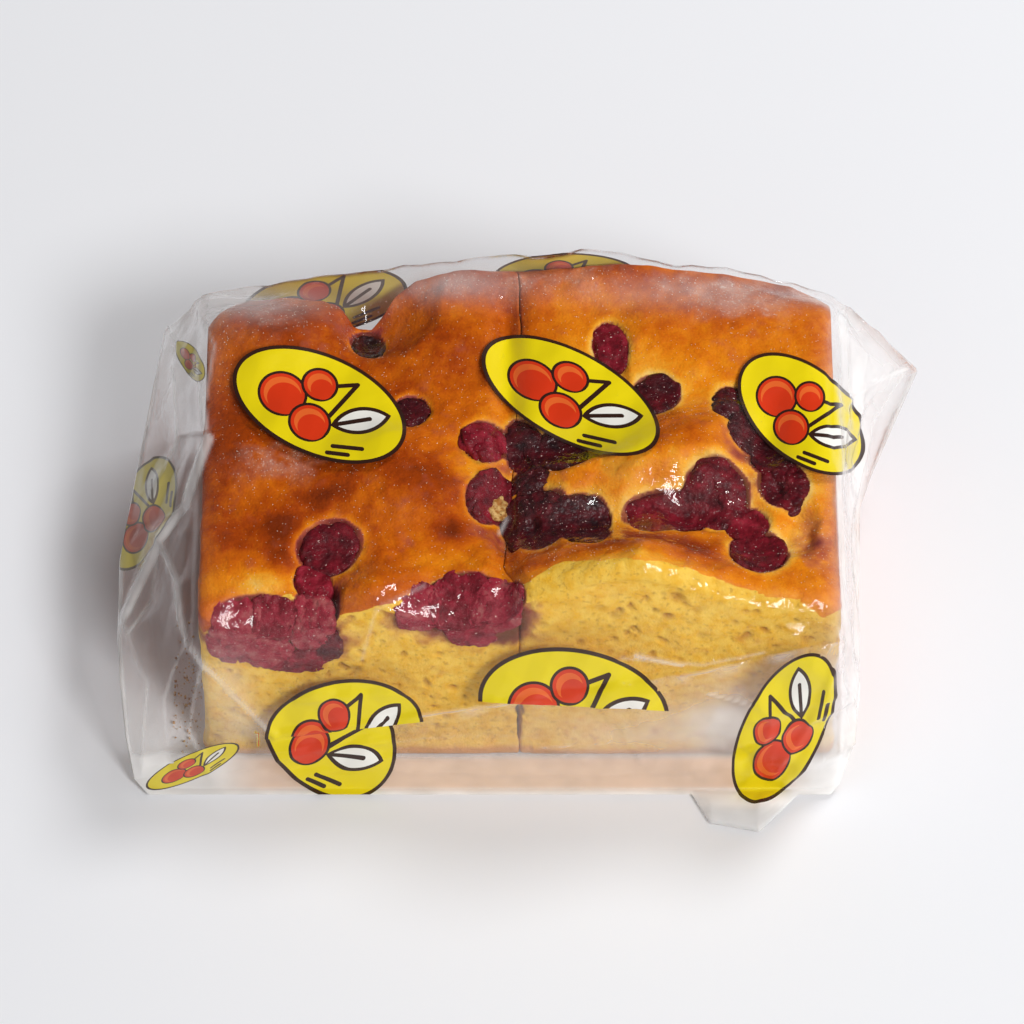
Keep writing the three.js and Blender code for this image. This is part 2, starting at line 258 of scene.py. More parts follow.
# Bake of the crust, 0 pale to 1 burnt: x, y, reach across and along, amount added
BAKE_SPOTS = {
    "left slice": (-40.0, 0.0, 28.0, 46.0, 0.27),
    "left rim": (-60.0, -8.0, 7.0, 34.0, 0.20),
    "left front corner": (-56.0, -32.0, 9.0, 7.0, -0.10),
    "middle of left": (-17.0, -7.0, 11.0, 11.0, 0.16),
    "burnt front left": (-12.4, -21.3, 4.5, 3.0, 0.30),
    "streak top": (-38.0, -13.0, 6.0, 2.2, 0.26),
    "streak bend": (-46.5, -20.5, 3.4, 4.0, 0.34),
    "streak foot": (-45.5, -27.0, 4.5, 2.6, 0.26),
    "back of left": (-22.0, 25.0, 18.0, 9.0, 0.16),
    "back left knob": (-50.0, 33.0, 10.0, 6.0, 0.14),
    "back rim": (0.0, 42.0, 70.0, 5.0, 0.22),
    "back right": (40.0, 33.0, 24.0, 8.0, 0.14),
    "band left": (8.0, -32.0, 7.0, 5.0, 0.18),
    "band middle": (26.0, -28.0, 13.0, 4.5, 0.24),
    "band lip": (20.0, -36.5, 20.0, 2.6, -0.20),
    "burnt band": (36.0, -29.0, 4.5, 3.4, 0.32),
    "band right": (56.0, -36.0, 8.0, 4.5, 0.10),
    "round crown": (34.0, 1.0, 9.0, 6.0, 0.10),
    "round front": (34.0, -8.0, 10.0, 3.6, -0.16),
    "seam crest": (20.0, -8.0, 9.0, 3.0, -0.06),
    "pale by oval": (27.0, 19.0, 8.0, 5.0, -0.16),
    "pale left": (-13.0, 0.0, 6.0, 6.0, -0.16),
    "pale by deep": (-31.0, -14.0, 6.0, 4.0, -0.16),
    "pale front left": (-49.0, -33.5, 10.0, 3.0, -0.34),
    "pale by front middle": (-15.0, -29.0, 7.0, 2.5, -0.18),
    "pale right of row": (60.0, -14.0, 4.5, 10.0, -0.16),
    "pale between": (-8.0, -5.0, 4.0, 3.4, -0.34),
}
# Lower edge of the crust on the front, as x and rise = y sin 50 + z cos 50
CRUMB_LINE = [
    (-62.4, -5.5), (-61.5, -7.4), (-53.2, -3.4), (-49.0, -1.0), (-44.7, 0.4), (-41.5, -0.5),
    (-40.3, -3.4), (-37.4, -4.4), (-34.6, -3.9), (-27.9, -2.0), (-23.7, -1.5), (-20.9, -0.2),
    (-17.4, 2.3), (-12.6, 4.7), (-8.9, 5.0), (-5.1, 1.4), (-1.0, 1.6), (2.8, 2.6), (7.7, 5.5),
    (10.1, 6.7), (15.6, 7.3), (21.1, 7.9), (24.9, 7.6), (30.8, 6.4), (37.7, 4.5), (45.0, 2.1),
    (51.4, 0.1), (57.3, -0.5), (60.2, -2.4), (62.1, -3.6), (65.4, -2.4),
]
LINE_ZONE_Y = -24
FAR_ABOVE_LINE = -9.0
# Under that edge the cut steps down and slants
CUT_STEP = 0.8
CUT_STEP_REACH = 0.7
CUT_SLANT = 0.42
CUT_LIMIT = 4.2

# Back edge of the slices from above as x and y, the drop of the crust along it as x and drop,
# and the seam between the slices as y and x
BACK_EDGE = [
    (-62.4, 36.5), (-60.0, 39.5), (-55.0, 41.8), (-47.0, 42.6), (-39.0, 41.6), (-35.0, 39.0),
    (-32.6, 34.6), (-29.0, 33.4), (-26.6, 36.6), (-24.0, 40.8), (-20.0, 43.0), (-8.0, 43.6),
    (55.0, 43.6), (62.0, 42.8), (65.4, 40.5),
]
BACK_SHOULDER = [(-62.4, 6.0), (-36.0, 6.0), (-24.0, 4.0), (-12.0, 2.0), (20.0, 1.0), (65.4, 2.5)]
BACK_SHOULDER_REACH = 7
BACK_EDGE_START = 0.7
SEAM_LINE = [(-42, 1.8), (-37, 0.2), (-30, -1.6), (-18, -0.8), (0, 0.8), (20, 1.8), (44, 0.6)]

# Largest pores of the cut faces: x, z, radius
FACE_PORES = [
    (17.0, 44.2, 1.2), (21.3, 43.5, 1.1), (31.0, 41.4, 1.5), (41.3, 45.7, 0.9), (38.3, 35.4, 1.4),
    (46.6, 36.2, 1.2), (14.2, 34.4, 1.0), (20.2, 35.0, 1.0), (38.0, 30.6, 1.1), (9.6, 49.5, 1.4),
    (27.0, 47.5, 0.8), (33.4, 49.5, 0.8), (-28.0, 36.0, 0.9), (-22.0, 30.0, 1.0),
    (10.5, 45.5, 0.7), (14.0, 40.0, 0.8), (19.0, 39.0, 0.7), (24.5, 38.0, 0.9), (24.0, 45.0, 0.7),
    (28.4, 43.8, 0.7), (30.0, 34.5, 0.9), (34.6, 45.6, 0.8), (35.5, 39.6, 0.8), (44.0, 40.2, 1.0),
    (48.6, 43.4, 0.8), (50.5, 38.0, 0.9), (53.0, 33.6, 0.9), (57.0, 41.0, 0.8), (60.0, 36.0, 0.8),
    (27.5, 30.0, 0.8), (33.0, 28.5, 0.8), (-32.0, 41.0, 0.8), (-25.5, 42.5, 0.7),
    (-30.0, 31.0, 0.8), (-18.5, 33.6, 0.8), (-26.0, 33.4, 0.7), (-14.0, 30.5, 0.8),
    (-57.0, 26.0, 0.9), (-34.0, 27.0, 0.9),
]
FACE_PORE_DEPTH = 1.8
FACE_PORE_FLOOR = 0.6
# Scattered pores: depth, cell, seed, least and most root of the size
PORE_KINDS = [(1.3, 4.6, 71, 0.10, 0.66), (0.9, 2.3, 83, 0.10, 0.64)]
PORE_UNDER_CRUST = (1.0, 2.4)
PORE_ABOVE_TABLE = (2.5, 6)
PORE_MEAN = 0.70
MOST_PORE = 1.2
PORE_DEPTH = 1.0

# Shapes and stains without order: height or amount, cell in millimetres, seed, layers
UNEVEN = {
    "crust": (0.35, 9, 11, 3),
    "crust grain": (0.10, 2.1, 17, 1),
    "crust knobs": (0.14, 3.4, 19, 1),
    "crust line": (0.45, 5, 131, 3),
    "crust thickness": (0.5, 6, 61, 3),
    "rim of hollows": (0.09, 4.5, 23, 2),
    "seam": (0.5, 9, 67, 3),
    "pore share": (0.6, 13, 91, 3),
    "walls": (0.22, 3.4, 97, 3),
    "belly of walls": (0.55, 21, 101, 2),
    "bake": (0.13, 11, 41, 3),
    "bake speckle": (0.035, 2.4, 47, 3),
    "juice": (0.26, 3.5, 53, 3),
    "cut folds": (1, 2.6, 141, 2),
    "cherry lumps": (0.10, 1.3, 7, 2),
    "cherry ridges": (1, 0.55, 13, 1),
    "cherry creases": (1, 0.34, 19, 1),
    "chunk": (0.30, 0.6, 31, 3),
    "chunk grain": (0.14, 0.3, 37, 1),
}
# Sideways shift of the pores, which makes them less round: reach, cell, seed
PORE_WARP = (0.9, 2.6, 111)

# Pairs of numbers that are named zone, edge, rim, side or blend say where something begins and
# where it is full.
# Plan and walls of the slices
CORNER_RADIUS = 2.4
INNER_CORNER_RADIUS = 0.6
NEAR_SEAM = 10
SEAM_WANDER_REACH = 9
FRONT_FOOT_OUT = 0.5
LEAN_ZONE = (30, 40)
STRAIGHT_ZONE = (6, 20)
FOOT_INSET = 0.02
FOOT_DROP = 0.2
FRONT_ZONE = (34, 39)
FRONT_CRUST_ZONE = (26, 28)
SEAM_SIDE = (6, 2.5)
WALL_START = 1.5
BASE_LIP_HEIGHT = 0.7
BASE_LIP_Z = 2.2
BASE_LIP_REACH = 1.6
MOST_PUSH = 0.9
SEAM_FACE = 4
SEAM_FACE_PUSH = 0.05
# How far out the walls may bulge at the left and right
LEFT_LIMIT = -62.95
RIGHT_LIMIT = 65.95

# Crust and crumb
BAKE_BASE = 0.40
PALE_BY_FRUIT = 0.30
BASE_CRUST_Z = (3.6, 1.6)
CRUST_THICKNESS = 1.5
CRUST_BLEND = (0.6, 1.3)
CRUMB_ON_SIDES = 0.35
CRUMB_LINE_EDGE = (-0.25, 0.35)
TORN_SPOTS = {"left": (-48.0, -40.5, 13.0, 4.0, 1.0), "middle": (-11.5, -40.5, 11.0, 4.0, 1.0)}
TORN_EDGE = (0.35, 0.7)
DIP_RAGGED = 1.5
DIP_EDGE = (0.35, 1.15)

# Beds of the cherries in the crust, and the cherries themselves
# Share that counts of how deep a cherry's top lies
BELOW_SHARE = 0.45
# Slope of the crust down to a cherry, and the hollow under it
FLANK_SLOPE = 0.85
FLANK_DROP = 0.30
FLANK_START = 0.97
FLANK_ROUNDING = 0.35
HOLLOW_DEPTH = 3.0
HOLLOW_RIM = (0.82, 0.93)
FRUIT_RIM = (0.92, 1.38)
# Columns and rows of a cherry's mesh
CHERRY_BALL = (72, 40)
CHERRY_SWELL = 1.20
CHERRY_UNDER_CRUST = 0.25
BALL_POWER = 3.0
# Folds of a cherry's skin and the hole of its stone, in units of its half sizes and radians
SHIFT_RANGE = 40
SHAPE_SCALE = 1.6
FOLD_SCALE = 1.5
RIDGE_SHIFT = 9
CREASE_SHIFT = 3
RIDGE_DEPTH = 0.12
RIDGE_POWER = 6
CREASE_DEPTH = 0.04
CREASE_POWER = 5
PIT_TURN_X = (-0.35, 0.35)
PIT_TURN_Y = (-0.6, 0.1)
PIT_DEPTH = 0.42
PIT_WIDTH = 0.34
PIT_LIP = 0.07
PIT_LIP_AT = 0.55
PIT_LIP_WIDTH = 0.2
# Cherries that are cut: first seed, folds, how far they stand out, and how the cut bulges
CUT_SEED = 50
CUT_FOLDS = 0.5
CUT_PROUD = 0.75
CUT_BULGE = 0.22

# Lump of crumb, sugar and loose crumbs
CHUNK_AT = (-3.2, -11.4)
CHUNK_SIZES = (3.0, 3.4, 1.9)
CHUNK_DROP = 1.6
CHUNK_BALL = (48, 28)
GRAIN_STRETCH = (0.6, 1.3)
SUGAR_SEED = 19
SUGAR_TRIES = 16000
SUGAR_X = (-60, 64)
SUGAR_Y = (-38, 42)
SUGAR_EVERYWHERE = 0.22
SUGAR_ON_FROST = 0.6
SUGAR_SIZE = (0.05, 0.12)
SUGAR_LIFT = 0.3
CRUMB_SEED = 29
CRUMB_COUNT = 170
CRUMB_MIDDLE = (-66.8, -28.0)
CRUMB_SPREAD = (2.4, 9.0)
CRUMB_X = (-69.0, -63.6)
CRUMB_Y = (-48, 20)
CRUMB_SIZE = (0.12, 0.42)
CRUMB_SIZE_POWER = 1.3
CRUMB_SIZE_SCALE = 1.2
CRUMB_LIFT = 0.25

# Whitish frost on the crust, partly sugar dust and partly painted sheen of the film where it lies
# on the crust: x, y, reach across and along, amount
FROST_AND_SHEEN_SPOTS = {
    "left": (-46.0, -3.0, 8.0, 5.0, 0.55),
    "left back": (-50.0, 33.0, 9.0, 5.0, 0.40),
    "back middle": (-6.0, 41.0, 22.0, 4.0, 0.42),
    "back right": (42.0, 40.0, 22.0, 4.5, 0.62),
    "right": (47.0, 33.0, 10.0, 4.0, 0.40),
    "on deep cherry": (-36.0, -25.0, 5.0, 5.0, 0.25),
    "stain right": (61.0, -24.0, 5.0, 8.0, 0.25),
}

# Juice soaked into the cut faces: x, z, reach across and up, amount
FACE_JUICE = {
    "left": (-48.0, 37.5, 14.0, 6.5, 1.2),
    "left low": (-42.0, 31.5, 8.0, 3.0, 0.9),
    "middle": (-11.0, 41.5, 11.0, 7.0, 1.2),
    "seam": (0.5, 41.0, 5.0, 7.5, 0.9),
}
# Juice beside the fruit and on torn places
FRUIT_JUICE = 0.8
FRUIT_JUICE_ZONE = (0.80, 1.0)
TORN_JUICE = 1.1
TORN_JUICE_ZONE = (0.4, 1.2)
# Juice that ran on the crust: x, y, reach across and along, amount
CRUST_JUICE = {
    "trickle": (-37.6, -35.0, 2.8, 5.5, 0.9),
    "under back cherry": (21.4, 19.4, 2.2, 4.2, 0.5),
    "valley": (6.0, -1.0, 10.0, 4.5, 0.7),
    "right stain": (60.0, -24.5, 4.5, 6.0, 0.6),
    "right row": (50.0, -2.0, 6.0, 12.0, 0.6),
    "notch": (-28.0, 33.5, 4.2, 5.5, 0.5),
    "crumb cherry": (-3.0, -19.0, 4.0, 5.0, 0.5),
}


# ---------------------------------------------------------------- working in arrays
def along(stations, place, column=1):
    """Value on straight stretches between stations, at an array of places."""
    table = np.array(stations, float)
    return np.interp(place, table[:, 0], table[:, column])


def smoothstep(t, start=0.0, end=1.0):
    """0 before start, 1 after end, and 3t^2 - 2t^3 between them."""
    t = np.clip((t - start) / (end - start), 0, 1)
    return t * t * (3 - 2 * t)


def mound(x, y, middle_x, middle_y, across, along_y):
    """Round bump of height 1: exp(-r^2), with r measured in the reach each way."""
    return np.exp(-((x - middle_x) / across) ** 2 - ((y - middle_y) / along_y) ** 2)


def shoulder_drop(distance):
    """Drop of a rounded shoulder, a quarter of an ellipse, at a distance in from an edge."""
    q = 1 - np.clip(distance / SHOULDER_RADIUS, 0, 1)
    return SHOULDER_DROP * (1 - np.sqrt(1 - q * q))


# Cells along each side of a table of random values, and the least length to divide by
LATTICE = 32
LEAST_LENGTH = 1e-9


def lattice_noise(points, cell, seed):
    """Smooth noise in -1..1: random values on a cubic lattice of the given cell, blended with
    6t^5 - 15t^4 + 10t^3 between the eight corners round each point."""
    table = np.random.default_rng(seed).uniform(-1, 1, (LATTICE, LATTICE, LATTICE))
    scaled = np.asarray(points, float) / cell
    base = np.floor(scaled).astype(int)
    t = scaled - base
    t = t ** 3 * (t * (t * 6 - 15) + 10)
    total = np.zeros(scaled.shape[:-1])
    for corner in np.ndindex(2, 2, 2):
        side = np.array(corner)
        weight = np.prod(np.where(side == 1, t, 1 - t), axis=-1)
        index = (base + side) % LATTICE
        total += weight * table[index[..., 0], index[..., 1], index[..., 2]]
    return total


def layered_noise(points, cell, seed, layers=3):
    """Sum of lattice noises, each layer with half the cell and half the height of the last."""
    return sum(lattice_noise(points, cell / 2 ** k, seed + k) / 2 ** k for k in range(layers))


def uneven(points, kind):
    """Layered noise of a named kind, times its amount."""
    amount, cell, seed, layers = UNEVEN[kind]
    return amount * layered_noise(points, cell, seed, layers)


def pores(points, cell, seed, least, most):
    """Depth 0..1 of round pores: one pore of random size in each cubic cell, as 1 - d/r, with
    r the square of an even draw."""
    rng = np.random.default_rng(seed)
    place = rng.uniform(0, 1, (LATTICE, LATTICE, LATTICE, 3))
    size = rng.uniform(least, most, (LATTICE, LATTICE, LATTICE)) ** 2
    scaled = np.asarray(points, float) / cell
    base = np.floor(scaled).astype(int)
    depth = np.zeros(scaled.shape[:-1])
    for corner in np.ndindex(3, 3, 3):
        neighbour = base + np.array(corner) - 1
        index = neighbour % LATTICE
        key = (index[..., 0], index[..., 1], index[..., 2])
        distance = np.linalg.norm(neighbour + place[key] - scaled, axis=-1)
        depth = np.maximum(depth, 1 - distance / size[key])
    return depth


# ---------------------------------------------------------------- heights of film and crust
def open_crown(x, y):
    """Leaning crown with the humps and rounded shoulders, without hollows."""
    back = np.clip((y - FRONT_EDGE_Y) / (BACK_FOLD_Y - FRONT_EDGE_Y), 0, 1)
    z = CROWN_FRONT + CROWN_LEAN * x / SLICES_RIGHT + CROWN_BACK_RISE * back
    for middle_x, middle_y, across, along_y, rise in CRUST_HUMPS.values():
        z = z + rise * mound(x, y, middle_x, middle_y, across, along_y)
    z = z - shoulder_drop(y - FRONT_EDGE_Y)
    return z - shoulder_drop(x - SLICES_LEFT) - shoulder_drop(SLICES_RIGHT - x)


def film_height(x, y):
    """The crown, less the film's sag over hollows and seam, plus the cherries, and brought to
    the fold line along the back."""
    z = open_crown(x, y)
    for middle_x, middle_y, across, along_y, depth in FILM_HOLLOWS.values():
        z = z - FILM_SAG * depth * mound(x, y, middle_x, middle_y, across, along_y)
    for middle_x, middle_y, radius in FILM_LIFTS:
        z = z + CHERRY_RISE * mound(x, y, middle_x, middle_y, radius, radius)
    z = z - SEAM_DIP * np.exp(-((x - SEAM_X) / SEAM_REACH) ** 2)
    lift = smoothstep(y, BACK_BLEND_START_Y, BACK_FOLD_Y)
    return z + (along(BACK_FOLD_Z, x) - z) * lift


def crease_height(x, y, z):
    """Triangle waves in several directions that cross each other."""
    height = 0
    for (across, along_y, up), spacing, rise, shift in CREASES:
        turn = (across * x + along_y * y + up * z) / spacing + shift
        height = height + rise * (4 * np.abs(turn - np.round(turn)) - 1)
    return height


def film_over_crust(x, y):
    """Height of the film where it lies over the crust, with its slight creases."""
    z = film_height(x, y)
    return z + CREASE_ON_CRUST * crease_height(x, y, z)


def cherry_distance(x, y, cherry):
    """Distance from a cherry's middle in units of its own half sizes."""
    middle_x, middle_y, across, along_y, _, turn = cherry[:6]
    c, s = math.cos(turn), math.sin(turn)
    dx, dy = x - middle_x, y - middle_y
    return np.hypot((dx * c + dy * s) / across, (dy * c - dx * s) / along_y)


def crumb_line_gap(x, y, z):
    """How far a place on the front lies under the lower edge of the crust, in the measure
    y sin 50 + z cos 50, and far above it away from the front."""
    line = np.stack([x, np.zeros_like(x), np.zeros_like(x)], -1)
    edge = along(CRUMB_LINE, x) + uneven(line, "crust line")
    return np.where(y < LINE_ZONE_Y, edge - y * RISE_Y - z * RISE_Z, FAR_ABOVE_LINE)


def crust_height(x, y):
    """The crown under the film with lumps, noise and valleys, the slanted cut at the front,
    slopes down to each cherry and a steep-sided hollow under it, torn places, and nowhere
    nearer to the film than its gap."""
    points = np.stack([x, y, np.zeros_like(x)], -1)
    z = open_crown(x, y) - CRUST_UNDER_FILM
    for middle_x, middle_y, across, along_y, rise in CRUST_LUMPS.values():
        z = z + rise * mound(x, y, middle_x, middle_y, across, along_y)
    for kind in ("crust", "crust grain", "crust knobs"):
        z = z + uneven(points, kind)
    reach = np.maximum(BACK_SHOULDER_REACH - (along(BACK_EDGE, x) - y), 0) / BACK_SHOULDER_REACH
    z = z - along(BACK_SHOULDER, x) * (1 - np.sqrt(1 - np.minimum(reach, 1) ** 2))
    under_line = np.maximum(crumb_line_gap(x, y, z), 0)
    z = z - CUT_STEP * smoothstep(under_line, 0, CUT_STEP_REACH)
    z = z - np.minimum(CUT_SLANT * under_line, CUT_LIMIT)
    ragged = uneven(points, "rim of hollows")
    hollow = np.zeros_like(z)
    for cherry in CHERRIES.values():
        distance = cherry_distance(x, y, cherry) + ragged
        flank = FLANK_SLOPE * np.maximum(distance - FLANK_START, 0) * (cherry[2] + cherry[3]) / 2
        z = soft_least(z, top_plane(x, y, cherry) - FLANK_DROP + flank, FLANK_ROUNDING)
        depth = HOLLOW_DEPTH * (1 - smoothstep(distance, *HOLLOW_RIM))
        hollow = np.maximum(hollow, depth)
    z = z - dips(x, y, VALLEYS, ragged)
    z = np.minimum(z, film_over_crust(x, y) - FILM_GAP)
    return z - np.maximum(hollow, dips(x, y, TORN_HOLLOWS, ragged))


def dips(x, y, places, ragged):
    """Depth of the deepest of some round dips, each full in its middle, with a ragged edge."""
    deepest = np.zeros_like(x)
    for middle_x, middle_y, across, along_y, depth in places.values():
        distance = np.hypot((x - middle_x) / across, (y - middle_y) / along_y)
        distance = distance + DIP_RAGGED * ragged
        deepest = np.maximum(deepest, depth * (1 - smoothstep(distance, *DIP_EDGE)))
    return deepest


def top_plane(x, y, cherry):
    """Height of the sloping plane that touches a cherry from above: parallel to the film over
    it, and below the film by the gap and by what the cherry says."""
    middle_x, middle_y, across, along_y, _, _, below = cherry[:7]
    ends_x, ends_y = np.array([-across, across]), np.array([-along_y, along_y])
    run_x = film_over_crust(middle_x + ends_x, np.full(2, middle_y))
    run_y = film_over_crust(np.full(2, middle_x), middle_y + ends_y)
    level = (run_x.mean() + run_y.mean()) / 2 - FILM_GAP - below * BELOW_SHARE
    slope_x, slope_y = np.diff(run_x)[0] / (2 * across), np.diff(run_y)[0] / (2 * along_y)
    return level + slope_x * (x - middle_x) + slope_y * (y - middle_y)


def soft_least(first, second, reach):
    """The lesser of two heights, with the corner between them rounded over a reach."""
    return -reach * np.logaddexp(-first / reach, -second / reach)


# ---------------------------------------------------------------- meshes
SHIFT = np.array([0.0, 0.0, 0.0])


def set_down():
    """Move from the middle of the slices to the frame: the solid's left fold and its tail lie
    on the low sides of its box."""
    low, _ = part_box("bag")
    fold_x = min(station[1] for station in LEFT_FOLD)
    SHIFT[:] = (low[0] / MM - fold_x, low[1] / MM - (CREASE_Y - TAIL_LENGTH), 0)


def make_object(name, points, faces, material, smooth=True):
    """An object at the origin from points in millimetres and faces as rows of indices."""
    mesh = bpy.data.meshes.new(name)
    mesh.from_pydata(((points + SHIFT) * MM).tolist(), [], faces)
    mesh.polygons.foreach_set("use_smooth", np.full(len(mesh.polygons), smooth))
    mesh.materials.append(material)
    mesh.update()
    piece = bpy.data.objects.new(name, mesh)
    bpy.context.scene.collection.objects.link(piece)
    return piece


def give(piece, name, values):
    """A number for each point of a piece, read by its material."""
    layer = piece.data.attributes.new(name, "FLOAT", "POINT")
    layer.data.foreach_set("value", np.asarray(values, np.float32).ravel())


def grid_quads(columns, rows):
    """Quads of a grid whose point (i, j) has index i * rows + j, facing +Z for +X by +Y."""
    i, j = np.meshgrid(np.arange(columns - 1), np.arange(rows - 1), indexing="ij")
    near = (i * rows + j).ravel()
    return np.stack([near, near + rows, near + rows + 1, near + 1], 1)


def outline_order(columns, rows):
    """Indices of a grid's outline, once round, against the clock seen from above."""
    front = np.arange(columns - 1) * rows
    right = (columns - 1) * rows + np.arange(rows - 1)
    back = np.arange(columns - 1, 0, -1) * rows + rows - 1
    left = np.arange(rows - 1, 0, -1)
    return np.concatenate([front, right, back, left])


def ring_quads(rings):
    """Quads between rings given as rows of indices, outside out, from the top ring down."""
    upper, lower = rings[:-1], rings[1:]
    after_upper, after_lower = np.roll(upper, -1, 1), np.roll(lower, -1, 1)
    quads = np.stack([upper, lower, after_lower, after_upper], -1)
    return quads.reshape(-1, 4)


def fan_under(ring, hub):
    """Triangles that close a ring from below, round a hub point."""
    return np.stack([ring, np.full_like(ring, hub), np.roll(ring, -1)], 1)


def unit(vectors):
    """Vectors brought to length 1, apart from those that have no length."""
    length = np.linalg.norm(vectors, axis=-1, keepdims=True)
    return vectors / np.maximum(length, LEAST_LENGTH)


def grid_normals(grid):
    """Unit normals of a grid of points, from the cross product of its two directions."""
    across = np.gradient(grid, axis=0)
    along_grid = np.gradient(grid, axis=1)
    return unit(np.cross(across, along_grid))


# ---------------------------------------------------------------- the film
# A place on the film is told by x and by rise = y sin 50 + z cos 50, which grows all the way
# from the front crease up the front and over the top, and no two places on that way share it.

# Middle of the fan that closes the flat film below, as x and y
BASE_HUB = (45, -10)

# Sharp wrinkles of the film: corners as x and rise, then height and half width
WRINKLES = {
    "tent strip": ([(-61.5, 31.4), (-66.0, 18.3), (-71.3, 11.2), (-78.9, -5.0)], 1.1, 1.6),
    "tent strip low": (
        [(-71.3, 11.2), (-67.2, 3.1), (-65.6, -8.0), (-62.1, -13.1), (-48.0, -28.3)], 1.1, 1.2),
    "tent back": ([(-70.2, 53.3), (-64.0, 47.6), (-61.9, 33.4)], 0.9, 1.6),
    "tent back low": ([(-69.6, 50.7), (-68.0, 31.4), (-72.9, 19.3)], 0.8, 1.8),
    "tent mid": ([(-66.0, 18.3), (-73.3, 15.2), (-77.7, 13.2)], -0.7, 1.5),
    "tent foot": ([(-78.9, -5.0), (-73.3, -17.2), (-75.3, -39.4)], 0.9, 2.0),
    "tent foot inner": ([(-65.6, -8.0), (-70.2, -21.2), (-69.2, -39.4)], -0.8, 2.2),
    "tent foot right": ([(-62.1, -13.1), (-65.2, -27.3), (-60.1, -39.4)], 0.8, 1.6),
    "tent corner": ([(-78.3, -9.1), (-73.3, -1.0), (-71.3, 11.2)], -0.6, 1.4),
    "back left": ([(-65.2, 59.8), (-60.7, 50.7), (-62.1, 39.5)], 0.8, 1.4),
    "back left along": ([(-62.1, 60.6), (-51.0, 59.8), (-36.8, 63.8)], 0.6, 1.4),
    "back": ([(-42.9, 63.4), (-26.7, 61.4), (-8.5, 66.2)], 0.5, 1.2),
    "back right": ([(9.7, 67.5), (25.9, 61.8), (42.1, 64.2), (58.3, 59.8)], 0.5, 1.2),
    "right edge": (
        [(68.0, 57.3), (68.4, 39.5), (66.0, 19.3), (66.8, -1.0), (69.4, -29.3)], 0.9, 1.4),
    "right inner": ([(65.6, 55.7), (64.8, 35.5), (67.6, 15.2), (65.6, -9.1)], -0.6, 1.2),
    "right low": ([(70.0, 23.3), (67.6, 7.1), (70.4, -9.1), (68.4, -21.2)], 0.8, 1.2),
    "ear root": ([(68.4, 56.1), (72.9, 49.6), (70.9, 33.4), (68.4, 23.3)], 0.7, 1.4),
    "ear upper": ([(81.6, 46.4), (74.5, 43.6), (68.8, 39.5)], 0.8, 1.3),
    "ear back": ([(79.6, 48.6), (72.5, 50.7), (67.6, 56.5)], -0.6, 1.3),
    "ear lower": ([(81.0, 45.2), (74.5, 35.5), (70.0, 19.3)], 0.7, 1.2),
    "ear middle": ([(81.6, 46.0), (73.7, 38.5), (69.6, 27.4)], -0.6, 1.3),
    "pleat": (
        [(-48.0, -28.3), (-16.6, -23.8), (1.6, -21.2), (27.9, -17.2), (65.4, -9.1)], 0.9, 1.0),
    "under pleat": (
        [(-60.1, -36.4), (-38.9, -30.9), (-12.6, -27.9), (17.8, -27.9), (50.2, -24.2),
         (66.4, -19.2)], 0.8, 1.8),
    "front low": ([(-23.7, -35.4), (17.8, -36.4), (44.1, -34.4)], 0.5, 1.4),
    "front left low": ([(-53.0, -39.4), (-22.7, -32.3), (9.7, -31.3)], 0.5, 1.6),
    "front left": ([(-42.9, -21.2), (-18.6, -19.2), (-8.5, -22.2)], 0.5, 1.4),
    "front right": ([(21.9, -12.1), (38.1, -13.5), (50.2, -11.1)], 0.5, 1.4),
    "front glint": ([(24.5, -11.5), (34.0, -13.4)], 0.7, 1.2),
    "front glint right": ([(39.5, -19.2), (49.5, -22.0)], 0.7, 1.2),
    "front glint low": ([(5.7, -30.3), (30.0, -28.3), (44.1, -30.9), (68.4, -21.2)], 0.8, 1.4),
    "front middle": ([(-17.6, -12.1), (-12.6, -5.0), (-6.5, -1.0)], 0.5, 1.2),
    "front left up": ([(-62.1, -19.2), (-47.0, -21.2), (-36.8, -19.2)], 0.6, 1.4),
    "front cross": ([(25.9, -33.4), (21.9, -25.3), (15.8, -21.2)], 0.5, 1.0),
    "over deep": ([(-36.0, -14.5), (-31.5, -2.0), (-22.0, 4.0)], 0.5, 0.9),
    "over deep low": ([(-36.0, -14.5), (-48.0, -18.5), (-56.0, -12.0)], 0.5, 1.2),
    "corner inner": ([(65.4, -9.1), (62.3, -21.2), (50.2, -41.4)], 0.8, 1.4),
    "corner outer": ([(69.4, -29.3), (58.3, -35.4), (48.2, -43.9)], 0.8, 1.6),
    "corner middle": ([(68.4, -21.2), (56.3, -33.4), (40.1, -44.5)], -0.7, 1.6),
    "corner left": ([(45.1, -13.1), (52.2, -25.3), (47.2, -39.4)], 0.8, 1.6),
    "tail": ([(52.0, -36.0), (44.0, -44.0)], 0.5, 1.2),
    "tail left": ([(47.5, -37.5), (41.0, -45.0)], 0.4, 0.8),
    "tail middle": ([(51.0, -38.0), (46.5, -46.5)], -0.4, 0.8),
    "tail right": ([(55.5, -37.0), (52.0, -45.0)], 0.4, 0.8),
    "seam glint": ([(-2.6, 12.4), (-0.9, 15.4)], 0.7, 0.9),
    "over berry": ([(-30.0, -12.5), (-27.0, -2.5), (-17.5, 2.2)], 0.4, 0.8),
    "top glint": ([(-24.0, 3.0), (-20.5, 5.4), (-17.6, 4.6)], 0.7, 1.0),
    "middle glint": ([(-14.6, -6.0), (-11.4, -1.0), (-10.5, 3.1)], 0.7, 0.9),
    "seam": ([(-2.4, 7.1), (1.6, 15.2), (0.8, 25.4)], 0.7, 1.0),
    "seam low": ([(-6.5, 0.0), (-0.4, 4.1), (3.6, -1.0)], 0.6, 1.0),
}
WRINKLE_IN = 0.5
WRINKLE_OUT = 1.1
WRINKLE_HEIGHT = 0.75
WRINKLE_WIDTH = 1.35
WRINKLE_POWER = 1.5
RELIEF_FADE_Z = 4
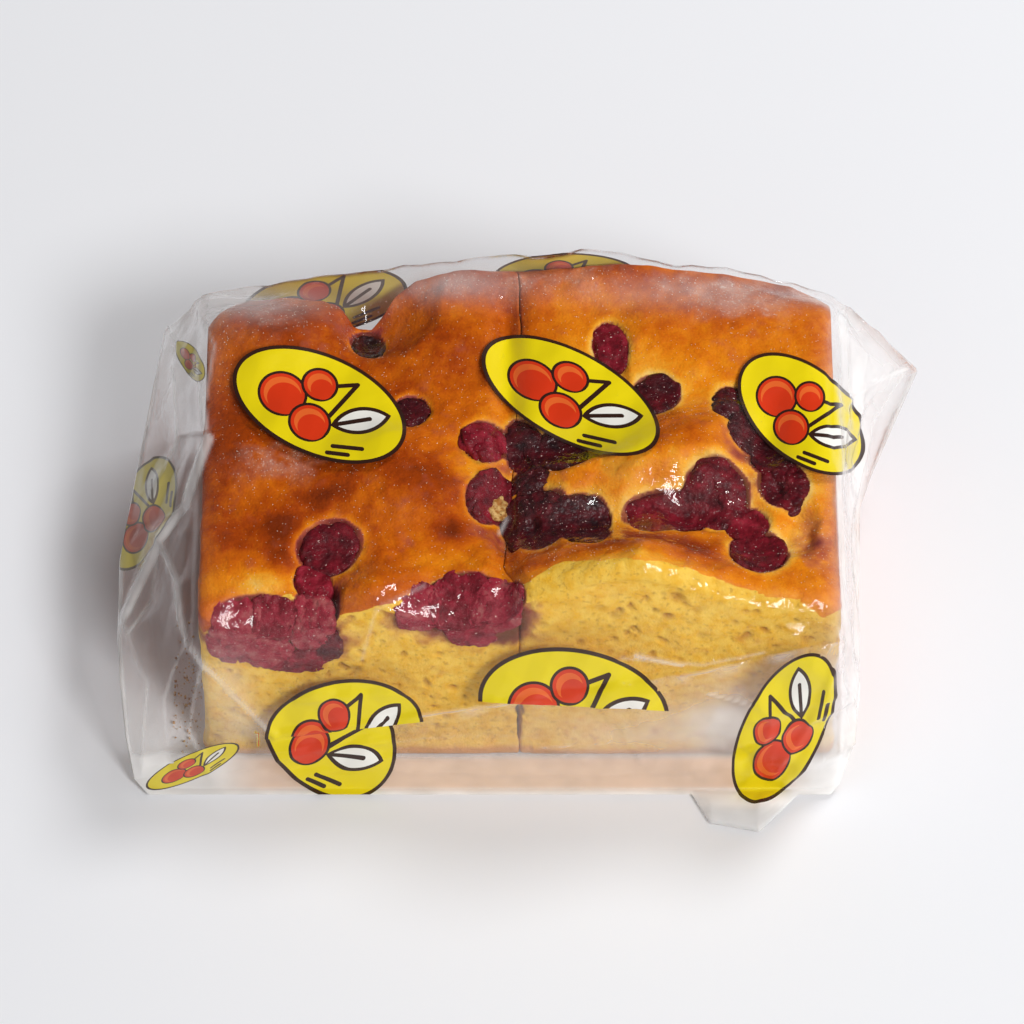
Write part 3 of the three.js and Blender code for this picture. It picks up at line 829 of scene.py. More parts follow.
# Loose wrinkles: the zones they take in turn, as x range, rise range, direction and its spread
LOOSE_ZONES = [
    (-78, -64, -30, 50, 1.7, 0.5), (65, 72, -30, 45, 1.5, 0.4), (-60, 60, -38, -20, 0.12, 0.4),
]
LOOSE_SEED = 5
LOOSE_COUNT = 46
LOOSE_LENGTH = (5, 20)
LOOSE_HEIGHT = 0.45
LOOSE_WIDTH = (0.7, 1.5)
# Creases fade in over one part of so many of the left, right, front and back stretch
CREASE_FADE_PARTS = (7, 8, 3, 4)
SIDE_BLEND = (-3, 0.5)
TOP_BLEND_ROWS = 3

# Milky places: x, rise, reach across and up, haze. The right strip is partly doubled film and
# partly painted reflection of its layers; the glare by the front right fold and the sheen along the
# back edge are painted.
HAZE_SPOTS = {
    "reflecting right strip": (69.8, 14.0, 3.8, 46.0, 0.66),
    "right foot": (68.0, -22.0, 7.0, 12.0, 0.44),
    "ear": (77.0, 44.0, 8.0, 12.0, 0.26),
    "tent": (-72.0, 14.0, 8.0, 40.0, 0.07),
    "tent back": (-68.0, 50.0, 6.0, 9.0, 0.22),
    "corner": (57.0, -37.0, 14.0, 6.0, 0.30),
    "glare by front right fold": (43.0, -24.0, 8.0, 5.0, 0.34),
    "left foot": (-74.0, -34.0, 6.0, 8.0, 0.16),
    "left fold": (-54.0, -27.0, 8.0, 4.0, 0.20),
    "left front fold": (-57.0, -19.0, 5.5, 6.5, 0.22),
    "low right": (36.0, -28.0, 26.0, 5.0, 0.24),
    "back left": (-60.0, 60.0, 12.0, 4.0, 0.22),
    "back edge sheen left": (-48.0, 60.0, 12.0, 3.0, 0.16),
    "back edge sheen middle": (-12.0, 63.6, 14.0, 3.4, 0.20),
    "back edge sheen right": (42.0, 62.0, 22.0, 3.4, 0.20),
    "bottom edge": (0.0, -41.2, 70.0, 1.5, 0.60),
}
HAZE_LOW_BAND = 0.52
HAZE_LOWER_FRONT = 0.10
HAZE_FRONT = 0.02
HAZE_TOP = 0.0
HAZE_TOP_ROWS = 8
HAZE_EDGE = (-0.3, 0.6)
MOST_HAZE = 0.85
LOW_BAND_RISE = (-33.5, -31.0)
# Lower front band of film tinted by a painted reflection of the orange cake: where it ends, its
# half width and fade
CAKE_REFLECTION_END_RISE = (-40.0, -38.4)
CAKE_REFLECTION_HALF_WIDTH = 62
CAKE_REFLECTION_FADE = 14
UNDER_HAZE = 0.15
UNDER_RINGS = 3
# Whiter outline of the film, partly the doubled fold and partly painted reflection along it
LEFT_RIM_HAZE = 0.5
RIGHT_RIM_HAZE = 0.4
RIM_COLUMNS = (1, 4)
# Strips along wrinkles, whitened partly as doubled film and partly as painted reflection of the
# creases, with painted glints in the glint strips: half width and haze
HAZE_CREASES = {
    "tent strip": (1.3, 0.50), "tent strip low": (0.8, 0.38), "tent back": (0.7, 0.42),
    "tent back low": (0.6, 0.36), "tent mid": (0.6, 0.36), "tent foot": (0.6, 0.30),
    "tent foot inner": (0.6, 0.20), "tent foot right": (0.6, 0.26), "tent corner": (0.5, 0.30),
    "back left": (0.5, 0.35), "ear upper": (0.7, 0.45), "ear lower": (0.5, 0.34),
    "ear root": (0.6, 0.40), "right edge": (1.3, 0.55), "right low": (0.6, 0.40),
    "front glint": (0.5, 0.45), "front glint right": (0.6, 0.50),
    "front glint low": (0.4, 0.36), "pleat": (0.5, 0.34), "under pleat": (0.4, 0.22),
    "front right": (0.4, 0.26), "corner inner": (0.7, 0.40), "corner outer": (0.7, 0.36),
    "front left low": (0.5, 0.20), "seam glint": (0.5, 0.34), "tail left": (0.5, 0.40),
    "tail middle": (0.5, 0.40), "tail right": (0.5, 0.40), "over berry": (0.5, 0.16),
}

# Printed ovals: x, rise, half sizes, turn, and where a fold cuts one, the direction of the kept
# side and how far that side starts from the oval's middle, in units of the half sizes
OVALS = {
    "left": (-39.1, 38.7, 18.9, 10.3, -0.42, None),
    "middle": (11.8, 40.6, 19.9, 9.2, -0.50, None),
    "right": (59.2, 36.8, 15.6, 9.6, -0.72, None),
    "front left upper": (-33.8, -27.4, 16.2, 10.6, 0.16, (-0.12, 1.0, 0.02)),
    "front left lower": (-37.0, -27.2, 15.6, 12.2, -0.86, None),
    "front middle": (12.4, -22.6, 19.4, 12.2, -0.18, (0.05, 1.0, 0.04)),
    "front right": (54.5, -26.6, 16.6, 8.2, 1.14, None),
    "tent": (-75.4, 16.6, 12.4, 6.2, 1.18, None),
    "tent foot": (-64.6, -34.6, 10.4, 2.6, 0.42, None),
    "back left": (-39.0, 60.4, 17.6, 6.4, 0.16, None),
    "back middle": (11.0, 65.4, 15.0, 4.6, 0.02, None),
    "corner piece": (-65.6, 47.6, 5.0, 2.2, -1.0, None),
}
UNDER_FOLD = "front left lower"
OVER_FOLD = "front left upper"
PRINTS_BEHIND = ("back left", "back middle")
# Ovals greyed by painted shade and haze of the film before them, in the shaded tent and behind the
# top film
PRINT_SHADE_AND_HAZE = {
    "tent": 0.50, "back left": 0.25, "back middle": 0.30, "tent foot": 0.20, "corner piece": 0.4,
}
PRINT_MARGIN = 1.2
# Distances on the kept side of an oval's fold: off the print, least that counts, wholly on it
OFF_PRINT = -6000.0
LEAST_FOLD = -30.0
ON_PRINT = 40.0
# A place outside every oval
FAR_OFF = 9.0


def lerp(start, end, share):
    """Straight blend between two values."""
    return start + (end - start) * share


def rise_of(y, z):
    """Place along the film from the front crease, up the front and over the top."""
    return y * RISE_Y + z * RISE_Z


def cross_sections(x):
    """Rows through the film at places across: y and z from the front crease up over the slices
    and down to the line at the back."""
    x = np.asarray(x, float)[:, None]
    crease_y = CREASE_Y - along(TAIL_REACH, x)
    pleat = along(PLEAT_Z, x)
    edge = film_height(x, FRONT_EDGE_Y)
    tail = np.arange(TAIL_ROWS) / TAIL_ROWS
    lower = np.arange(LOWER_FRONT_ROWS) / LOWER_FRONT_ROWS
    upper = np.linspace(0, 1, UPPER_FRONT_ROWS + 1)
    top_y = np.linspace(FRONT_EDGE_Y, BACK_FOLD_Y, TOP_ROWS + 1)[1:]
    back = np.linspace(0, 1, BACK_ROWS + 1)[1:]
    lift = TAIL_LIFT * np.sin(np.pi * tail) * (CREASE_Y - crease_y) / TAIL_LENGTH
    flat = np.zeros_like(x)
    y = [
        lerp(crease_y, TAIL_ROOT_Y, tail), flat + lerp(TAIL_ROOT_Y, PLEAT_Y - PLEAT_STEP, lower),
        flat + lerp(PLEAT_Y, FRONT_EDGE_Y, upper ** UPPER_FRONT_BOW), flat + top_y,
        flat + lerp(BACK_FOLD_Y, BACK_LINE_Y, back),
    ]
    z = [
        CREASE_Z + lift, lerp(CREASE_Z, pleat, lower ** LOWER_FRONT_SWEEP),
        lerp(pleat + PLEAT_STEP, edge, upper), film_height(x, flat + top_y),
        lerp(along(BACK_FOLD_Z, x), along(BACK_LINE_Z, x), back),
    ]
    return np.concatenate(y, 1), np.concatenate(z, 1)


def drawn_x(x, y):
    """Place across, moved in where the right side fold leaves too little room."""
    lack = np.maximum(0, SLICES_RIGHT + SIDE_ROOM - along(RIGHT_FOLD, y))
    return x - lack * np.maximum(0, (x - DRAW_START_X) / (SLICES_RIGHT - DRAW_START_X))


def side_columns(end_x, fold, shares, drape):
    """Film between a side fold, at share 0, and the slices' end, at share 1."""
    y, z = cross_sections([end_x])
    share = np.asarray(shares)[:, None]
    across = lerp(along(fold, y, 1), drawn_x(end_x, y), share)
    return np.stack([across, np.broadcast_to(y, across.shape),
                     lerp(along(fold, y, 2), z, share ** drape)], -1)


def film_grid():
    """The upper film: columns from the left fold over the slices to the right fold, with the
    creases full on the free film, slight on the crust and none on the outline."""
    body_x = np.linspace(SLICES_LEFT, SLICES_RIGHT, BODY_COLUMNS + 1)
    y, z = cross_sections(body_x)
    body = np.stack([drawn_x(body_x[:, None], y), y, z], -1)
    left_shares = np.arange(LEFT_COLUMNS) / LEFT_COLUMNS
    right_shares = np.arange(RIGHT_COLUMNS)[::-1] / RIGHT_COLUMNS
    grid = np.concatenate([
        side_columns(SLICES_LEFT, LEFT_FOLD, left_shares, LEFT_DRAPE), body,
        side_columns(SLICES_RIGHT, RIGHT_FOLD, right_shares, RIGHT_DRAPE),
    ])
    x, y, z = np.moveaxis(grid, -1, 0)
    columns, rows = x.shape
    i, j = np.arange(columns)[:, None], np.arange(rows)[None, :]
    left, right, front, back = CREASE_FADE_PARTS
    fade = np.minimum(i / (LEFT_COLUMNS / left), (columns - 1 - i) / (RIGHT_COLUMNS / right))
    from_ends = np.minimum(j / (TAIL_ROWS / front), (rows - 1 - j) / (BACK_ROWS / back))
    fade = np.clip(np.minimum(fade, from_ends), 0, 1)
    over = smoothstep(x - SLICES_LEFT, *SIDE_BLEND) * smoothstep(SLICES_RIGHT - x, *SIDE_BLEND)
    on_top = np.clip(j - first_top_row(), 0, TOP_BLEND_ROWS) / TOP_BLEND_ROWS
    on_top = on_top * smoothstep(BACK_FOLD_Y - y, 0, 1)
    height = crease_height(x, y, z) * np.clip((z - CREASE_Z) / CREASE_FADE_Z, 0, 1) * fade
    grid[..., 1] += CREASE_UPRIGHT * height * (1 - on_top)
    grid[..., 2] += height * on_top * lerp(1, CREASE_ON_CRUST, over)
    return grid, fade


def first_top_row():
    """Row of the front top edge."""
    return TAIL_ROWS + LOWER_FRONT_ROWS + UPPER_FRONT_ROWS


def distance_to_line(x, rise, corners):
    """Distance from places on the film to a line with corners."""
    place = np.stack([x, rise], -1)
    nearest = np.full(x.shape, np.inf)
    for start, end in zip(np.array(corners[:-1]), np.array(corners[1:])):
        way = end - start
        share = np.clip(((place - start) @ way) / (way @ way), 0, 1)
        gap = np.linalg.norm(place - start - share[..., None] * way, axis=-1)
        nearest = np.minimum(nearest, gap)
    return nearest


def loose_wrinkles():
    """Short random wrinkles on the free film of the two sides and the lower front."""
    rng = np.random.default_rng(LOOSE_SEED)
    lines = []
    for index in range(LOOSE_COUNT):
        left, right, low, high, mean_turn, spread = LOOSE_ZONES[index % len(LOOSE_ZONES)]
        x, rise = rng.uniform(left, right), rng.uniform(low, high)
        turn = rng.normal(mean_turn, spread)
        length = rng.uniform(*LOOSE_LENGTH)
        end = (x + length * math.cos(turn), rise + length * math.sin(turn))
        height = rng.uniform(-1, 1) * LOOSE_HEIGHT
        lines.append(([(x, rise), end], height, rng.uniform(*LOOSE_WIDTH)))
    return lines


def wrinkle_relief(x, rise):
    """Height of the sharp wrinkles: each a tent over its line, (1 - d/w)^1.5, and together
    nowhere deep enough to push into the slices."""
    relief = np.zeros_like(x)
    for corners, height, half_width in list(WRINKLES.values()) + loose_wrinkles():
        gap = distance_to_line(x, rise, corners)
        tent = np.clip(1 - gap / (WRINKLE_WIDTH * half_width), 0, 1) ** WRINKLE_POWER
        relief += WRINKLE_HEIGHT * height * tent
    return np.clip(relief, -WRINKLE_IN, WRINKLE_OUT)


def film_haze(x, rise, row):
    """Milky share of the film, with painted reflection, glare and sheen: bands by row, soft spots,
    and the doubled strips of film.
    """
    lower_end = TAIL_ROWS + LOWER_FRONT_ROWS
    top = first_top_row()
    band = np.interp(row, [0, lower_end - 1, lower_end, top, top + HAZE_TOP_ROWS],
                     [HAZE_LOWER_FRONT, HAZE_LOWER_FRONT, HAZE_FRONT, HAZE_FRONT, HAZE_TOP])
    low = 1 - smoothstep(rise, *LOW_BAND_RISE)
    haze = lerp(np.broadcast_to(band, x.shape), HAZE_LOW_BAND, low)
    for middle_x, middle_rise, across, up, amount in HAZE_SPOTS.values():
        haze += amount * mound(x, rise, middle_x, middle_rise, across, up)
    for name, (half_width, amount) in HAZE_CREASES.items():
        gap = distance_to_line(x, rise, WRINKLES[name][0])
        haze = np.maximum(haze, amount * smoothstep(half_width - gap, *HAZE_EDGE))
    return np.clip(haze, 0, MOST_HAZE)


def in_oval(x, rise, oval):
    """Place in a printed oval, in units of its half sizes."""
    middle_x, middle_rise, half_long, half_short, turn = oval[:5]
    c, s = math.cos(turn), math.sin(turn)
    dx, dr = x - middle_x, rise - middle_rise
    return np.stack([(dx * c + dr * s) / half_long, (dr * c - dx * s) / half_short], -1)


def oval_places(x, rise, behind):
    """For each point its place in the nearest oval, how far it is on the kept side of that
    oval's fold, in millimetres, or far off the print, and how much painted shade and haze grey that
    oval."""
    nearest = np.full(x.shape, np.inf)
    place = np.full((*x.shape, 2), FAR_OFF)
    fold = np.full(x.shape, OFF_PRINT)
    shade_and_haze = np.zeros(x.shape)
    for name, oval in OVALS.items():
        if name == UNDER_FOLD:
            continue
        own = in_oval(x, rise, oval)
        radius = np.linalg.norm(own, axis=-1)
        gap = (radius - 1) * oval[3]
        if name == OVER_FOLD:
            below = OVALS[UNDER_FOLD]
            gap = np.minimum(gap, (np.linalg.norm(in_oval(x, rise, below), axis=-1) - 1) * below[3])
        side = np.full(x.shape, ON_PRINT)
        shown = behind if name in PRINTS_BEHIND else ~behind
        if oval[5]:
            across, up, start = oval[5]
            side = across * (x - oval[0]) + up * (rise - oval[1]) - start * oval[3]
        near = gap < PRINT_MARGIN
        closer = shown & (gap < nearest)
        nearest = np.where(closer, gap, nearest)
        place = np.where(closer[..., None], own, place)
        fold = np.where(closer, np.where(near, side, OFF_PRINT), fold)
        shade_and_haze = np.where(closer, PRINT_SHADE_AND_HAZE.get(name, 0.0), shade_and_haze)
    return place, fold, shade_and_haze


def film_feet(ring):
    """Where the outline comes down to the table: drawn in by the share of the fold beside it."""
    x, y = ring[:, 0], ring[:, 1]
    left = along(LEFT_FOOT, y) / along(LEFT_FOLD, y)
    right = along(RIGHT_FOOT, y) / along(RIGHT_FOLD, y)
    across = x * np.where(x < 0, left, right)
    return np.stack([across, y * np.where(y < 0, FRONT_FOOT_SHARE, BACK_FOOT_SHARE),
                     np.zeros_like(x)], 1)


def build_film(material):
    """The closed film: the upper grid with its wrinkles, the film that turns under in a few
    rings, and the flat film below."""
    grid, fade = film_grid()
    columns, rows = grid.shape[:2]
    row = np.broadcast_to(np.arange(rows)[None, :], (columns, rows))
    x, rise = grid[..., 0].copy(), rise_of(grid[..., 1], grid[..., 2])
    shown = row <= rows - BACK_ROWS
    low = np.clip((grid[..., 2] - CREASE_Z) / RELIEF_FADE_Z, 0, 1)
    relief = wrinkle_relief(x, rise) * shown * fade * low
    grid = grid + grid_normals(grid) * relief[..., None]
    grid[..., 1] = np.minimum(grid[..., 1], BACK_LINE_Y)
    grid[..., 2] = np.maximum(grid[..., 2], CREASE_Z)
    upper = grid.reshape(-1, 3)
    outline = outline_order(columns, rows)
    ring = upper[outline]
    feet = film_feet(ring)
    drawn = ring.copy()
    drawn[:, 0] -= CORNER_DRAW * np.maximum(0, ring[:, 0] - CORNER_ROOT_X)
    bend = lerp(drawn, feet, UNDER_SHARE)
    shares = np.arange(1, UNDER_RINGS + 1) / UNDER_RINGS
    under = [lerp(ring, bend, share) for share in shares]
    under = np.concatenate(under + [lerp(bend, feet, share) for share in shares])
    hub = np.array([[*BASE_HUB, 0.0]])
    points = np.concatenate([upper, under, hub])
    first = len(upper)
    count = len(outline)
    rings = [outline] + [first + k * count + np.arange(count) for k in range(2 * UNDER_RINGS)]
    faces = grid_quads(columns, rows).tolist() + ring_quads(np.array(rings)).tolist()
    faces += fan_under(rings[-1], len(points) - 1).tolist()
    film = make_object("film", points, faces, material)
    extra = len(points) - len(upper)
    haze = film_haze(x, rise, row)
    column = np.arange(columns)[:, None]
    # Whiter outline: partly doubled fold, partly painted reflection along the folded edge
    haze = np.maximum(haze, LEFT_RIM_HAZE * (1 - smoothstep(column, *RIM_COLUMNS)))
    haze = np.maximum(haze, RIGHT_RIM_HAZE * (1 - smoothstep(columns - 1 - column, *RIM_COLUMNS)))
    outline_haze = np.tile(np.minimum(haze.ravel()[outline], UNDER_HAZE), 2 * UNDER_RINGS)
    give(film, "haze", np.concatenate([haze.ravel(), outline_haze, [HAZE_TOP]]))
    # Painted reflection of the orange cake in the lower front film
    cake_reflection = 1 - smoothstep(rise, *LOW_BAND_RISE)
    cake_reflection *= smoothstep(CAKE_REFLECTION_HALF_WIDTH - np.abs(x), 0, CAKE_REFLECTION_FADE)
    cake_reflection *= smoothstep(rise, *CAKE_REFLECTION_END_RISE)
    give(film, "cake_reflection", np.append(cake_reflection.ravel(), np.zeros(extra)))
    place, fold, shade_and_haze = oval_places(x, rise, row >= rows - BACK_ROWS - 1)
    put_map(film, "print", place, extra)
    put_map(film, "print_under", in_oval(x, rise, OVALS[UNDER_FOLD]), extra)
    give(film, "fold", np.append(fold.ravel(), np.full(extra, OFF_PRINT)))
    give(film, "shade_and_haze", np.append(shade_and_haze.ravel(), np.zeros(extra)))
    return film


def put_map(film, name, place, extra):
    """UV map with a place for each point of the upper film, and a far place below it."""
    layer = film.data.uv_layers.new(name=name)
    corners = np.zeros(len(film.data.loops), np.int32)
    film.data.loops.foreach_get("vertex_index", corners)
    places = np.concatenate([place.reshape(-1, 2), np.full((extra, 2), FAR_OFF)])
    layer.uv.foreach_set("vector", places[corners].astype(np.float32).ravel())


# ---------------------------------------------------------------- building the slices
def front_face_y(z):
    """Place of the cut front faces, which lean back a little towards the top."""
    return SLICE_FRONT_Y - FRONT_FOOT_OUT + FRONT_LEAN * z / CROWN_FRONT


def rounded_plan(left, right):
    """Grid of a slice from above: x, y with a straight back, and y with the uneven back edge.
    Each corner square is pulled onto a quarter disc, and the seam wanders."""
    across = np.linspace(left, right, int((right - left) / CELL) + 1)
    depth = np.linspace(0, 1, int((SLICE_BACK_Y - SLICE_FRONT_Y) / CELL) + 1)
    x, share = np.meshgrid(across, depth, indexing="ij")
    y = lerp(front_face_y(CROWN_FRONT), np.full_like(x, SLICE_BACK_Y), share)
    radius = np.where(np.abs(x) < NEAR_SEAM, INNER_CORNER_RADIUS, CORNER_RADIUS)
    u = np.maximum(left + radius - x, 0) - np.maximum(x - right + radius, 0)
    w = np.maximum(y[0, 0] + radius - y, 0) - np.maximum(y - SLICE_BACK_Y + radius, 0)
    both = (np.abs(u) > 0) & (np.abs(w) > 0)
    length = np.maximum(np.hypot(u, w), LEAST_LENGTH)
    pull = np.where(both, np.maximum(np.abs(u), np.abs(w)) / length, 1)
    x, y = x + u * (1 - pull), y + w * (1 - pull)
    line = np.stack([np.zeros_like(y), y, np.zeros_like(y)], -1)
    wander = along(SEAM_LINE, y) + uneven(line, "seam") - SEAM_X
    x = x + wander * (1 - smoothstep(np.abs(x - SEAM_X), 0, SEAM_WANDER_REACH))
    return x, y, lerp(y, along(BACK_EDGE, x), smoothstep(share, BACK_EDGE_START, 1) * share)


def vertex_normals(points, quads):
    """Normals of points from the quads round them, each quad weighing by its area."""
    a, b, c, d = (points[quads[:, k]] for k in range(4))
    face = np.cross(c - a, d - b)
    normal = np.zeros_like(points)
    for k in range(4):
        np.add.at(normal, quads[:, k], face)
    return unit(normal)


def spot_sum(x, y, spots):
    """Sum of soft round spots, each middle, reach across and along, and amount."""
    return sum(amount * mound(x, y, mx, my, across, reach)
               for mx, my, across, reach, amount in spots.values())


def fruit_nearness(x, y):
    """1 right beside a cherry, fading to 0 at about 1.4 times its half sizes."""
    near = np.zeros_like(x)
    for cherry in CHERRIES.values():
        near = np.maximum(near, 1 - smoothstep(cherry_distance(x, y, cherry), *FRUIT_RIM))
    return near


def slice_walls(ring, straight_y, middle_x):
    """Rings of the walls, from the outline of the crust down to the base. The front leans as
    it is cut, the back straightens, and the last ring turns in under the base."""
    steps = int(CROWN_FRONT / CELL)
    front = smoothstep(-ring[:, 1], *LEAN_ZONE)
    walls = []
    for share in np.arange(1, steps + 1) / steps:
        z = lerp(ring[:, 2], BASE_Z, share)
        lean = (front_face_y(z) - front_face_y(CROWN_FRONT)) * front
        along_y = lerp(ring[:, 1], straight_y, smoothstep(ring[:, 2] - z, *STRAIGHT_ZONE))
        walls.append(np.stack([ring[:, 0], along_y + lean, z], 1))
    foot = lerp(walls[-1], np.array([[middle_x, 0, BASE_Z]]), FOOT_INSET)
    foot[:, 2] = BASE_Z - FOOT_DROP
    return walls + [foot]


def crumb_share(points, under, is_wall, front):
    """How much crumb shows in place of crust: under the crust on the walls, under the lower
    edge of the crust on the front, and where the crust is torn."""
    inner_side = smoothstep(np.abs(points[:, 0]), *SEAM_SIDE) * is_wall
    side = is_wall * (1 - front)
    thickness = CRUST_THICKNESS + uneven(points, "crust thickness")
    start, end = CRUST_BLEND
    crumb = smoothstep(under, thickness * start, thickness * end) * is_wall
    crumb *= lerp(1, CRUMB_ON_SIDES, side * (1 - inner_side))
    on_crust = (1 - is_wall) * smoothstep(-points[:, 1], *FRONT_CRUST_ZONE)
    below_line = smoothstep(crumb_line_gap(*points.T), *CRUMB_LINE_EDGE)
    crumb = lerp(crumb, below_line, np.maximum(front, on_crust))
    torn = smoothstep(spot_sum(points[:, 0], points[:, 1], TORN_SPOTS), *TORN_EDGE)
    return np.clip(crumb + front * torn, 0, 1)


def wall_pores(points, under, is_wall, front):
    """Depth of the pores on the walls: scattered ones of two sizes and the largest by name."""
    reach, cell, seed = PORE_WARP
    shift = np.stack([lattice_noise(points, cell, seed + k) for k in range(3)], -1)
    warped = points + reach * shift
    holes = sum(depth * pores(warped, *kind) for depth, *kind in PORE_KINDS)
    holes *= smoothstep(under, *PORE_UNDER_CRUST) * smoothstep(points[:, 2], *PORE_ABOVE_TABLE)
    for pore_x, pore_z, pore_radius in FACE_PORES:
        gap = np.hypot(warped[:, 0] - pore_x, warped[:, 2] - pore_z)
        depth = FACE_PORE_DEPTH * np.clip(1 - gap / pore_radius, 0, FACE_PORE_FLOOR)
        holes = np.maximum(holes, depth * front)
    share = PORE_MEAN + uneven(points, "pore share")
    return np.clip(holes * share, 0, MOST_PORE) * is_wall


def wall_push(points, under, is_wall, front, holes):
    """How far the walls stand out: uneven less the pores, with a lip above the base, and held
    back at the seam."""
    rough = uneven(points, "walls") * is_wall
    belly = uneven(points, "belly of walls") * is_wall
    push = (rough + belly - PORE_DEPTH * holes) * smoothstep(under, 0, WALL_START)
    push *= smoothstep(points[:, 2], BASE_Z - FOOT_DROP, WALL_START)
    lip = np.exp(-((points[:, 2] - BASE_LIP_Z) / BASE_LIP_REACH) ** 2)
    push = np.minimum(push + BASE_LIP_HEIGHT * lip * is_wall * front, MOST_PUSH)
    at_seam = np.abs(points[:, 0]) < SEAM_FACE
    return np.where(at_seam, np.minimum(push, SEAM_FACE_PUSH), push)


def give_stains(piece, points, is_wall, front):
    """Numbers for bake, base crust, juice, and whitish frost of sugar dust and painted sheen."""
    x, y, z = points.T
    bake = BAKE_BASE + spot_sum(x, y, BAKE_SPOTS) + uneven(points, "bake")
    bake += uneven(points, "bake speckle")
    near = fruit_nearness(x, y) * (1 - is_wall)
    bake -= PALE_BY_FRUIT * near
    juice = spot_sum(x, y, CRUST_JUICE) * (1 - is_wall)
    juice += spot_sum(x, z, FACE_JUICE) * front
    juice += FRUIT_JUICE * smoothstep(near, *FRUIT_JUICE_ZONE) + uneven(points, "juice")
    torn = smoothstep(dips(x, y, TORN_HOLLOWS, 0), *TORN_JUICE_ZONE)
    juice += TORN_JUICE * torn * (1 - is_wall)
    give(piece, "bake", np.clip(bake, 0, 1))
    give(piece, "base", smoothstep(z, *BASE_CRUST_Z) * is_wall)
    give(piece, "juice", np.clip(juice, 0, 1))
    give(piece, "frost", np.clip(spot_sum(x, y, FROST_AND_SHEEN_SPOTS) * (1 - is_wall), 0, 1))


def build_slice(name, left, right, material):
    """A closed slice: crust on top, four baked or cut walls down to the base, with pores as
    relief on the walls. Its material reads the numbers that it is given."""
    x, straight_y, y = rounded_plan(left, right)
    columns, rows = x.shape
    upper = np.stack([x, y, crust_height(x, y)], -1).reshape(-1, 3)
    outline = outline_order(columns, rows)
    ring = upper[outline]
    middle_x = (left + right) / 2
    walls = slice_walls(ring, straight_y.ravel()[outline], middle_x)
    hub = np.array([[middle_x, 0, BASE_Z - FOOT_DROP]])
    points = np.concatenate([upper, *walls, hub])
    count = len(outline)
    rings = [outline] + [len(upper) + k * count + np.arange(count) for k in range(len(walls))]
    quads = np.concatenate([grid_quads(columns, rows), ring_quads(np.array(rings))])
    is_wall = np.zeros(len(points))
    is_wall[len(upper):-1] = 1
    top_z = np.concatenate([upper[:, 2], np.tile(ring[:, 2], len(walls)), [BASE_Z]])
    under = top_z - points[:, 2]
    front = smoothstep(-points[:, 1], *FRONT_ZONE) * is_wall
    crumb = crumb_share(points, under, is_wall, front)
    holes = wall_pores(points, under, is_wall, front)
    push = wall_push(points, under, is_wall, front, holes)
    points = points + vertex_normals(points, quads) * push[:, None]
    points[len(upper):, 0] = np.clip(points[len(upper):, 0], LEFT_LIMIT, RIGHT_LIMIT)
    faces = quads.tolist() + fan_under(rings[-1], len(points) - 1).tolist()
    piece = make_object(name, points, faces, material)
    give(piece, "crumb", crumb)
    # The depth of the pores also darkens the crumb's colour, as painted shade in the holes
    give(piece, "pore", np.clip(holes, 0, 1))
    give_stains(piece, points, is_wall, front)
    return piece


# ---------------------------------------------------------------- fruit and crumbs
def ball_directions(columns, rows):
    """Unit directions on a globe with shared poles: the two poles last."""
    turn = np.arange(columns) / columns * 2 * np.pi
    tilt = np.arange(1, rows) / rows * np.pi
    t, p = np.meshgrid(turn, tilt)
    ring = np.stack([np.sin(p) * np.cos(t), np.sin(p) * np.sin(t), np.cos(p)], -1)
    return np.concatenate([ring.reshape(-1, 3), [[0, 0, 1], [0, 0, -1]]])


def ball_faces(columns, rows):
    """Faces of the globe, outside out."""
    j, i = np.meshgrid(np.arange(rows - 2), np.arange(columns), indexing="ij")
    here, beside = (j * columns + i).ravel(), (j * columns + (i + 1) % columns).ravel()
    faces = np.stack([here, here + columns, beside + columns, beside], 1).tolist()
    top, bottom = (rows - 1) * columns, (rows - 1) * columns + 1
    last = (rows - 2) * columns
    for k in range(columns):
        after = (k + 1) % columns
        faces.append([top, k, after])
        faces.append([bottom, last + after, last + k])
    return faces


def cherry_shape(directions, sizes, turn, seed, pit):
    """A cooked cherry: a slightly squared ball with soft lumps, sharp wrinkles 1 - |noise| and,
    where it shows, the hole its stone left, exp(-(angle/width)^2), with a lip round it."""
    rng = np.random.default_rng(seed)
    shift = rng.uniform(0, SHIFT_RANGE, 3)
    lumps = uneven(directions * SHAPE_SCALE + shift, "cherry lumps")
    ridges = np.abs(uneven(directions * FOLD_SCALE + shift + RIDGE_SHIFT, "cherry ridges"))
    creases = np.abs(uneven(directions * FOLD_SCALE + shift + CREASE_SHIFT, "cherry creases"))
    radius = 1 + lumps - RIDGE_DEPTH * (1 - ridges) ** RIDGE_POWER
    radius = radius - CREASE_DEPTH * (1 - creases) ** CREASE_POWER
    if pit:
        way = np.array([rng.uniform(*PIT_TURN_X), rng.uniform(*PIT_TURN_Y), 1.0])
        way /= np.linalg.norm(way)
        angle = np.arccos(np.clip(directions @ way, -1, 1))
        hole = PIT_DEPTH * np.exp(-(angle / PIT_WIDTH) ** 2)
        radius -= hole - PIT_LIP * np.exp(-((angle - PIT_LIP_AT) / PIT_LIP_WIDTH) ** 2)
    level = np.linalg.norm(directions[:, :2], axis=1)
    squared = (level ** BALL_POWER + np.abs(directions[:, 2]) ** BALL_POWER) ** (-1 / BALL_POWER)
    points = directions * (radius * squared)[:, None] * np.array(sizes)
    c, s = math.cos(turn), math.sin(turn)
    return np.stack([points[:, 0] * c - points[:, 1] * s, points[:, 0] * s + points[:, 1] * c,
                     points[:, 2]], 1)


def keep_under_film(points, *gaps):
    """Lower the points that lie nearer to the film than some gaps together."""
    room = film_over_crust(points[:, 0], np.maximum(points[:, 1], FRONT_EDGE_Y))
    for gap in gaps:
        room = room - gap
    points[:, 2] = np.minimum(points[:, 2], room)


